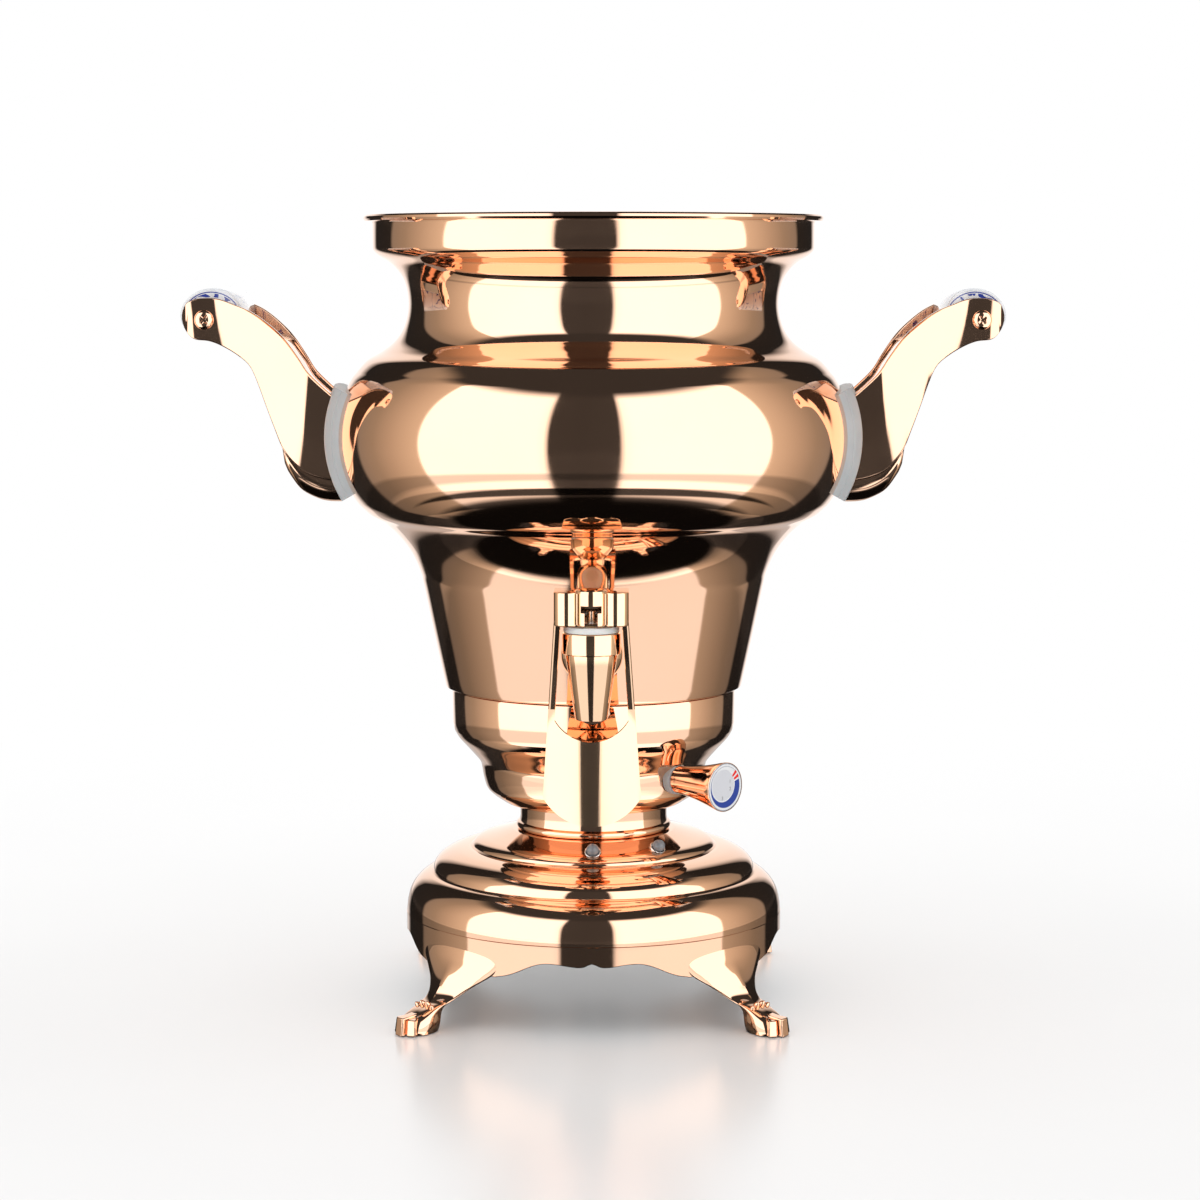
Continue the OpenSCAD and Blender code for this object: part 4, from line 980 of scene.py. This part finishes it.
# Tap: spout with shank and boss, bonnet ring, seat cup, seal, stem and plug.
# Profiles of shank, boss and seal start from their own place along the shank
tap = {
    "reach": 95.0, "shankHeight": 152.5,
    "spout": [(4.02, 129.4), (5.7, 129.35), (6.15, 129.55), (6.35, 130.2), (10.1, 154.6), (10.1, 155.0),
              (10.05, 163.3), (9.7, 163.35), (7.32, 163.35), (7.32, 146.05), (4.02, 146.05), (4.02, 129.4)],
    "ring": [(10.16, 155.1), (10.9, 155.05), (11.2, 155.3), (11.27, 155.9), (11.27, 162.6), (11.15, 163.15),
             (10.7, 163.37), (10.16, 163.37), (10.16, 155.1)],
    "cup": [(1.81, 158.3), (7.1, 158.3), (7.1, 163.45), (10.2, 163.45), (10.65, 163.6), (10.76, 164.1),
            (10.76, 165.4), (10.6, 165.85), (10.1, 165.97), (1.81, 165.97), (1.81, 158.3)],
    "shankFrom": 57.5,
    "shank": [(5.02, 0), (7.35, 0), (7.65, 0.3), (7.65, 30.5), (5.02, 30.5), (5.02, 0)],
    "bossFrom": 69.8,
    "boss": [(5.02, 0), (11.65, 0), (12.05, 0.4), (12.15, 0.9), (12.15, 7.046), (11.65, 8.943),
             (10.25, 11.111), (8.35, 12.737), (7.35, 13.34675), (5.02, 13.55), (5.02, 0)],
    "sealFrom": 63.55,
    "seal": [(7.75, 0), (11.1, 0), (11.4, 0.4), (11.4, 6.2), (7.75, 6.2), (7.75, 0)],
    "bowlCone": [(0, 131), (61.75, 131), (70.3, 172), (0, 172)],
    "bore": (5.0, 34), "boreMiddle": 73.5,     # radius and depth of each cut, and where its middle lies
    "chamber": (7.31, 17.2), "chamberMiddle": 154.7,
    "ringGap": (8.0, 30), "ringGapMiddle": 77,
    "stem": [(0, 148.3), (1.74, 148.3), (1.74, 171.5), (1.45, 171.82), (0, 171.9)],
    "plug": [(0, 146.1), (5.2, 146.1), (5.55, 146.5), (5.55, 149.9), (5.2, 150.35), (1.85, 150.35),
             (1.85, 148.4), (0, 148.4)],
}


def onSpout(height=0):
    return moved(0, -tap["reach"], height)


def onShank(along):                # local Z runs along the shank, towards -Y
    return outwards(tap["shankHeight"], 0, along)


def makeTapBody():
    body = turnAt("tapBody", tap["spout"], onSpout())
    shank = turnAt("shank", tap["shank"], onShank(tap["shankFrom"]), 64)
    boss = turnAt("boss", tap["boss"], onShank(tap["bossFrom"]), 80)
    uniteWith(body, [shank, boss])
    cutRound(body, *tap["bore"], onShank(tap["boreMiddle"]))
    cutRound(body, *tap["chamber"], onSpout(tap["chamberMiddle"]), 64)
    finishShape(body)
    mountPiece(body, "tap_body", "tap_copper")
    ring = turnAt("bonnetRing", tap["ring"], onSpout())
    cutRound(ring, *tap["ringGap"], onShank(tap["ringGapMiddle"]), 64)
    finishShape(ring)
    mountPiece(ring, "bonnet_ring", "tap_copper")
    mountPiece(turnAt("seatCup", tap["cup"], onSpout()), "seat_cup", "white_silicone")
    seal = turnAt("tapSeal", tap["seal"], onShank(tap["sealFrom"]), 64)
    cutWith(seal, turnPiece("bowlCone", tap["bowlCone"], 160))
    finishShape(seal)
    mountPiece(seal, "tap_seal", "grey_silicone")


def makeStem():
    mountPiece(turnAt("valveStem", tap["stem"], onSpout(), 48, 40), "valve_stem", "steel", "valve_stem")
    mountPiece(turnAt("valvePlug", tap["plug"], onSpout(), 48), "valve_plug", "white_silicone", "valve_stem")


makeTapBody()
makeStem()
print("scene: tap ready")

# Lever: a cap of three lobes with a T-slot for the stem, two flat rails, and a curved tongue that leans back
lever = {
    "foot": 166.6, "height": 14.1, "sideHeight": 13.1, "lobe": 6.34, "sideLobe": 5.08, "lobeAcross": 9.32,
    "lobeY": -101.4, "back": -87.6,
    "channel": ((-2.55, 2.55), (-109, -90.3), (165, 171.9)),
    "groove": ((-4.0, 4.0), (-109, -93.0), (171.9, 174.64)),
    "pinSlot": ((-3.8, 3.8), (-97.6, -90.6), (169.6, 172.1)),
    "beadY": -104.5, "beadHeight": 166.9, "bead": 0.6, "beadHalf": 10.8,
    "front": -105.14, "curve": 35.0, "thick": 2.6, "lean": 18.9,
    "topHalf": 14.4, "cornerHalf": 19.3, "corner": 95.3, "tip": 84.0,
    "windowTopHalf": 11.8, "windowHalf": 14.32, "windowCorner": 127.8, "window": 119.5,
    "top": 167.5, "sheetHalf": 22, "sheetTop": 3, "sheetLength": 105, "cutFrom": -150, "cutDepth": 110,
    "railHeights": (168.5, 150.0, 132.7), "railWidth": 2.65, "railProud": 0.12,
    "rail": [(-1.32, 0.2), (-1.12, 0), (0.5, 0), (1.0, 0.3), (1.33, 0.8), (1.33, 6.3), (1.0, 6.7),
             (-1.0, 6.7), (-1.32, 6.3)],
}


def archThrough(half, corner, low, steps):    # round bottom edge, from -half to half, as (x, z)
    sag = corner - low
    radius = (half * half + sag * sag) / (2 * sag)
    angle = math.degrees(math.asin(half / radius))
    return arcRun((0, low + radius), radius, -90 - angle, -90 + angle, steps)


def leverFront(across, height):    # Y of the tongue's front face
    lean = math.radians(lever["lean"])
    sag = lever["curve"] - math.sqrt(lever["curve"] ** 2 - across ** 2)
    return lever["front"] + sag / math.cos(lean) + (lever["foot"] - height) * math.tan(lean)


def makeCap():
    side, lobeY = lever["lobeAcross"], lever["lobeY"]
    lobe, sideLobe, high = lever["lobe"], lever["sideLobe"], lever["height"]
    apart = (side ** 2 + lobe ** 2 - sideLobe ** 2) / (2 * side)
    middle = math.degrees(math.acos(apart / lobe))
    outer = math.degrees(math.acos((side - apart) / sideLobe))
    outline = arcRun((-side, lobeY), sideLobe, 180, 360 - outer, 14)
    outline += arcRun((0, lobeY), lobe, 180 + middle, 360 - middle, 18)[1:]
    outline += arcRun((side, lobeY), sideLobe, 180 + outer, 360, 14)[1:]
    outline += [Vector((lever["topHalf"], lever["back"])), Vector((-lever["topHalf"], lever["back"]))]
    outline = [Vector((p.x, p.y, lever["foot"])) * mm for p in outline]
    cap = thickOutline("leverCap", outline, (0, 0, lever["sideHeight"] * mm))
    tidyFaces()
    crown = turnAt("crown", [(0, 1), (lobe - 0.02, 1), (lobe - 0.02, high - 1.4), (lobe - 0.3, high - 0.6),
                             (lobe - 1.2, high - 0.1), (lobe - 2.4, high), (0, high)],
                   moved(0, lobeY, lever["foot"]))
    softenEdges(cap, 1.1, 5, 60)
    uniteWith(cap, [crown])
    for place in ("channel", "groove", "pinSlot"):
        cutWith(cap, boxPiece(lever[place]))
    finishShape(cap, 24)
    thick, half = lever["bead"], lever["beadHalf"]
    bead = turnAt("bead", [(0, -half), (thick, -half), (thick, half), (0, half)],
                  moved(0, lever["beadY"], lever["beadHeight"]) @ turned(90, "Y"), 24)
    return joinPieces(cap, [bead])


def makeRail(side):
    places = []
    for height in lever["railHeights"]:
        down = (lever["foot"] - height) / (lever["foot"] - lever["corner"])
        outer = lever["topHalf"] + down * (lever["cornerHalf"] - lever["topHalf"])
        down = (lever["foot"] - height) / (lever["foot"] - lever["windowCorner"])
        inner = lever["windowTopHalf"] + down * (lever["windowHalf"] - lever["windowTopHalf"])
        face = leverFront(inner, height) - lever["railProud"]
        middle = Vector((side * (outer + inner) / 2, face, height)) * mm
        places.append((middle, ((outer - inner) / lever["railWidth"], 1, 1)))
    ring = [Vector((side * x, y, 0)) * mm for x, y in lever["rail"]]
    rail = loftRings("rail", ring, places)
    finishShape(rail, 20)
    return rail


def makeTongue():
    curve = lever["curve"]
    angle = math.degrees(math.asin(lever["sheetHalf"] / curve))
    face = arcRun((0, curve), curve, -90 - angle, -90 + angle, 44)
    back = arcRun((0, curve), curve - lever["thick"], -90 + angle, -90 - angle, 44)
    outline = [Vector((p.x, p.y, lever["sheetTop"])) * mm for p in face + back]
    sheet = thickOutline("leverTongue", outline, (0, 0, -lever["sheetLength"] * mm))
    tidyFaces()
    finishShape(sheet)
    moveMesh(sheet, moved(0, lever["front"], lever["foot"]) @ turned(lever["lean"], "X"))
    top = lever["top"]
    outline = [Vector((-lever["topHalf"], top))]
    outline += archThrough(lever["cornerHalf"], lever["corner"], lever["tip"], 40)
    outline += [Vector((lever["topHalf"], top)), Vector((lever["windowTopHalf"], top))]
    outline += archThrough(lever["windowHalf"], lever["windowCorner"], lever["window"], 32)[::-1]
    outline += [Vector((-lever["windowTopHalf"], top))]
    outline = [Vector((p.x, lever["cutFrom"], p.y)) * mm for p in outline]
    prism = thickOutline("prism", outline, (0, lever["cutDepth"] * mm, 0))
    tidyFaces()
    cutWith(sheet, prism, "INTERSECT")
    softenEdges(sheet, 0.95, 4, 50)
    finishShape(sheet, 6)
    return sheet


def makeLever():
    whole = joinPieces(makeCap(), [makeTongue(), makeRail(1), makeRail(-1)])
    whole.name = "tapLever"
    mountPiece(whole, "tap_lever", "tap_copper", "tap_lever")


makeLever()
print("scene: lever ready")


# Thermostat knob with its printed dial, and the bush that it turns in; local Z runs along its axis
knob = {
    "side": [(0, 49.82), (5.3, 49.82), (5.6, 50.1), (5.62, 51.4), (6.15, 56.2), (7.2, 62.5), (8.6, 68.8),
             (9.55, 72.6), (9.9, 74.4), (9.98, 74.9), (9.92, 75.08), (9.76, 75.1), (9.72, 74.2), (0, 74.2)],
    "dialRadius": 9.68, "dialFace": 75.1,
    "dial": [(0, 74.22), (9.66, 74.22), (9.66, 74.92), (9.43, 75.08), (0, 75.1)],
    "numbers": (("1", 0.29, 0.2), ("2", 0.3, -0.1), ("3", -0.17, -0.46)),      # shares of the dial's radius
    "numberSize": 2.1,
    "bush": [(2.95, 46.2), (6.15, 46.2), (6.15, 48.6), (5.95, 49.2), (5.4, 49.48), (2.95, 49.48),
             (2.95, 46.2)],
}


dialPrint = {                      # shares of the dial's radius, and turns clockwise from the top
    "ring": (0.865, 0.012), "rim": 0.955, "plate": 0.70, "plateEdge": 0.045, "plateShift": (-0.125, 0.085),
    "crescent": 0.86, "crescentFrom": 0.2, "crescentTo": 0.9,
    "bars": ((0.132, 0.0124), (0.172, 0.0124)), "barSpan": (0.6, 0.9),
    "pale": (0.70, 0.71, 0.75), "blue": (0.025, 0.06, 0.34), "red": (0.86, 0.02, 0.012),
    "line": (0.42, 0.44, 0.49),
}


def makeDialPrint():
    material, tree, shader, color = makePlain("printedDial")
    shader.inputs["Specular IOR Level"].default_value = 0.25

    def calc(operation, *values):
        return mathNode(tree, operation, *values)

    def between(value, low, high):
        return calc("MULTIPLY", calc("GREATER_THAN", value, low), calc("LESS_THAN", value, high))

    x, y, z = splitCoords(tree)
    size = knob["dialRadius"] * mm
    across = calc("DIVIDE", calc("ADD", x, y), size * math.sqrt(2))
    up = calc("DIVIDE", calc("SUBTRACT", z, housing["knobHeight"] * mm), size)

    def away(shiftX, shiftY):
        x, y = calc("SUBTRACT", across, shiftX), calc("SUBTRACT", up, shiftY)
        return calc("SQRT", calc("ADD", calc("MULTIPLY", x, x), calc("MULTIPLY", y, y)))

    radius, plate = away(0, 0), away(*dialPrint["plateShift"])
    turn = calc("DIVIDE", calc("ARCTAN2", across, up), math.tau)
    turn = calc("FRACT", calc("ADD", turn, 1.0))
    color = mixColor(tree, calc("COMPARE", radius, *dialPrint["ring"]), color, dialPrint["line"])
    color = mixColor(tree, calc("GREATER_THAN", radius, dialPrint["rim"]), color, dialPrint["line"])
    offPlate = calc("GREATER_THAN", plate, dialPrint["plate"])
    crescent = calc("MULTIPLY", calc("LESS_THAN", radius, dialPrint["crescent"]), offPlate)
    sweep = between(turn, dialPrint["crescentFrom"], dialPrint["crescentTo"])
    color = mixColor(tree, calc("MULTIPLY", crescent, sweep), color, dialPrint["blue"])
    inPlate = calc("LESS_THAN", plate, dialPrint["plate"] - dialPrint["plateEdge"])
    color = mixColor(tree, inPlate, color, dialPrint["pale"])
    span = between(radius, *dialPrint["barSpan"])
    for place, half in dialPrint["bars"]:
        bar = calc("MULTIPLY", calc("COMPARE", turn, place, half), span)
        color = mixColor(tree, bar, color, dialPrint["red"])
    tree.links.new(color, shader.inputs["Base Color"])
    return material


def makeNumber(number, across, up, ink):
    startFresh()
    bpy.ops.object.text_add()
    label = bpy.context.object
    label.name = "dialNumber" + number
    label.data.body = number
    label.data.size = knob["numberSize"] * mm
    label.data.align_x = "CENTER"
    label.data.align_y = "CENTER"
    label.data.extrude = 0.012 * mm
    bpy.ops.object.convert(target="MESH")
    radius = knob["dialRadius"]
    moveMesh(label, onKnob() @ moved(across * radius, up * radius, knob["dialFace"] + 0.005))
    mountPiece(label, None, "dial_white", "thermostat_knob", ink)


def makeKnob():
    side = knob["side"]
    profile = side[:3] + smoothRun(side[3:9], 5) + side[9:]
    body = turnAt("thermostatKnob", profile, onKnob(), 96, 30)
    mountPiece(body, "thermostat_knob", "copper", "thermostat_knob")
    finishes["dial_white"] = makeDialPrint()
    dial = turnAt("knobDial", knob["dial"], onKnob(), 96, 30)
    mountPiece(dial, "knob_dial", "dial_white", "thermostat_knob")
    ink = makePlain("greyInk")[0]
    for number, across, up in knob["numbers"]:
        makeNumber(number, across, up, ink)
    mountPiece(turnAt("thermostatBush", knob["bush"], onKnob(), 80, 30), "thermostat_bush", "grey_silicone")


gland = {
    "profile": [(3.25, 72.8), (5.1, 72.8), (5.1, 78.2), (6.1, 78.25), (6.38, 78.6), (6.38, 79.9), (6.0, 80.6),
                (5.2, 80.88), (3.7, 80.88), (3.25, 80.3), (3.25, 72.8)],
}


def makeGland():
    back = moved(0, 0, dome["glandHeight"]) @ turned(-90, "X")
    mountPiece(turnAt("cordGland", gland["profile"], back, 64, 40), "cord_gland", "black_rubber")


makeKnob()
makeGland()
print("scene: knob ready")


# Foot frame: scalloped skirt, four cabriole legs that swell out of it, and paws with three blocky toes
foot = {
    "radius": 78.2, "height": 36.0, "wall": 1.2, "flange": 69.2, "bevel": 0.28, "shoulder": 0.22,
    "scallop": [(0, 0.812), (0.035, 0.8), (0.085, 0.776), (0.14, 0.769), (0.22, 0.775), (0.36, 0.795),
                (0.48, 0.798), (0.58, 0.778), (0.68, 0.735), (0.8, 0.672), (0.9, 0.63), (1, 0.605)],
    "scallopHalf": 38.3, "skirtLow": 0.6,
    # place as a share of the radius, height as a share of the frame's, half width, outward, inward, ridge
    "leg": [(0.9925, 0.97, 0.3, 0.003, 0.004, 0), (0.9925, 0.88, 0.3, 0.006, 0.004, 0),
            (0.9925, 0.8, 0.3, 0.012, 0.004, 0), (0.993, 0.72, 0.292, 0.024, 0.004, 0.1),
            (0.996, 0.645, 0.268, 0.042, 0.012, 0.25), (1.006, 0.575, 0.23, 0.056, 0.032, 0.4),
            (1.026, 0.5, 0.18, 0.062, 0.044, 0.5), (1.052, 0.43, 0.14, 0.062, 0.048, 0.5),
            (1.084, 0.36, 0.109, 0.056, 0.048, 0.45), (1.12, 0.31, 0.09, 0.053, 0.048, 0.3),
            (1.155, 0.275, 0.08, 0.058, 0.056, 0.15), (1.188, 0.235, 0.078, 0.074, 0.076, 0.05),
            (1.22, 0.18, 0.082, 0.092, 0.1, 0), (1.24, 0.11, 0.088, 0.102, 0.114, 0),
            (1.248, 0.05, 0.088, 0.103, 0.116, 0), (1.248, 0.001, 0.082, 0.096, 0.108, 0)],
    "sides": 72,
    # toe: turn in degrees, half width, back, front and height at back and front, from the paw's middle
    "toes": [(0, 2.6, -3.0, 10.9, 8.4, 7.0), (29, 2.3, -3.4, 9.6, 7.8, 6.3), (-29, 2.3, -3.4, 9.6, 7.8, 6.3)],
    "pawPlace": 97.6,
    # tufts: a small pointed lock's profile, and y, height and turn of each at the ankle
    "tuft": [(0, -1.95), (0.81, -1.365), (1.35, -0.39), (1.08, 0.78), (0.4725, 1.638), (0, 1.95)],
    "tufts": [(-4.0, 9.3, 30), (-1.5, 10.3, 10), (1.5, 10.3, -10), (4.0, 9.3, -30)],
    "tuftPlace": 94.2, "tuftLean": 35,
}


def skirtEdge(turn, path):         # height of the lower edge at a turn in degrees
    across = foot["radius"] * abs(math.sin(math.radians(turn - 90 * round(turn / 90))))
    if across >= foot["scallopHalf"]:
        return foot["height"] * foot["skirtLow"]
    return levelAt(path, across)


def linkRings(name, rings, closed):    # rings of equal count, linked in turn, with caps where it isn't closed
    count = len(rings[0])
    points = [p for ring in rings for p in ring]
    faces = []
    for i in range(len(rings) - (0 if closed else 1)):
        low, high = i * count, (i + 1) % len(rings) * count
        faces += [(low + k, low + (k + 1) % count, high + (k + 1) % count, high + k) for k in range(count)]
    if not closed:
        faces += [tuple(range(count)), tuple(range(len(points) - count, len(points)))]
    mesh = bpy.data.meshes.new(name)
    mesh.from_pydata([tuple(p) for p in points], [], faces)
    piece = bpy.data.objects.new(name, mesh)
    bpy.context.collection.objects.link(piece)
    faceOutwards(piece)
    finishShape(piece, 30)
    return piece


def makeSkirt():
    path = smoothRun([(x * foot["scallopHalf"], z * foot["height"]) for x, z in foot["scallop"]], 8)
    radius, wall, bevel, top = foot["radius"], foot["wall"], foot["bevel"], foot["height"]
    shoulder, flange = foot["shoulder"], foot["flange"]
    rings = []
    for turn in [k / 2 for k in range(720)]:
        low = skirtEdge(turn, path)
        section = [(radius - bevel, low), (radius, low + bevel), (radius, top - shoulder),
                   (radius - shoulder, top), (flange, top), (flange, top - wall),
                   (radius - wall, top - wall), (radius - wall, low)]
        a = math.radians(turn)
        rings.append([Vector((r * math.cos(a), r * math.sin(a), z)) * mm for r, z in section])
    return linkRings("skirt", rings, True)


def legRing(row):
    place, height, half, out, back, ridge = row
    radius = foot["radius"]
    ring = []
    for k in range(foot["sides"]):
        a = math.tau * k / foot["sides"]
        across, front = math.sin(a), math.cos(a)
        if front >= 0:
            peaked = (1 - abs(across)) ** 1.75 if abs(across) < 1 else 0
            rounded = front ** (1.1 if height > 0.3 else 0.75)
            bulge = out * (ridge * peaked + (1 - ridge) * rounded)
        else:
            bulge = -back * (-front) ** 0.8
        level = radius * (place + bulge)
        turn = half * across / place
        ring.append(Vector((level * math.cos(turn), level * math.sin(turn), foot["height"] * height)) * mm)
    return ring


def makeToe(turn, half, back, front, highBack, highFront):
    corners = [(back, -half), (front, -half * 0.8), (front, half * 0.8), (back, half)]
    low = [Vector((x, y, 0.02)) * mm for x, y in corners]
    high = [Vector((x - (0.9 if x > 0 else 0), y * 0.86, highFront if x > 0 else highBack)) * mm
            for x, y in corners]
    toe = linkRings("toe", [low, high], False)
    softenEdges(toe, 0.5, 3, 40)
    finishShape(toe, 25)
    moveMesh(toe, moved(foot["pawPlace"], 0, 0) @ turned(turn, "Z"))
    return toe


def makeTuft(y, height, turn):
    place = moved(foot["tuftPlace"], y, height) @ turned(turn, "X") @ turned(foot["tuftLean"], "Y")
    return turnAt("tuft", smoothRun(foot["tuft"], 3), place, 20, 60)


def makeLeg():
    rows = smoothRun(foot["leg"], 4)
    leg = linkRings("leg", [legRing(row) for row in rows], False)
    finishShape(leg, 40)
    toes = [makeToe(*sizes) for sizes in foot["toes"]]
    return joinPieces(leg, toes + [makeTuft(*place) for place in foot["tufts"]])


def makeFootFrame():
    legs = [makeLeg()]
    moveMesh(legs[0], turned(45, "Z"))
    for turn in (90, 180, 270):
        twin = copyPiece(legs[0])
        moveMesh(twin, turned(turn, "Z"))
        legs.append(twin)
    whole = joinPieces(makeSkirt(), legs)
    whole.name = "footFrame"
    mountPiece(whole, "foot_frame", "copper")


makeFootFrame()
print("scene: foot frame ready")


# Inner pieces and fasteners keep their CAD shapes and get a finish of their own
innerFinishes = {
    "steel": ("tank_floor", "tap_nut", "handle_bolts_left", "handle_bolts_right", "stem_pin",
              "thermostat_shaft"),
    "zinc": ("heat_spreader", "bottom_plate", "bottom_screws", "tie_rod", "tie_washer", "tie_nut"),
    "element": ("heating_element",),
    "phenolic": ("dry_boil_cutout", "thermostat_body"),
    "white_silicone": ("floor_seal",),
}


def dressInnerPieces():
    finishes["zinc"] = makeGrained("zincPlate")[0]
    finishes["element"] = makePlain("elementAlloy")[0]
    finishes["phenolic"] = makePlain("phenolicBody")[0]
    for finish, nodes in innerFinishes.items():
        for slot in [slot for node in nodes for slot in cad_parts[node].material_slots]:
            slot.material = finishes[finish]


dressInnerPieces()
print("scene: inner pieces ready")
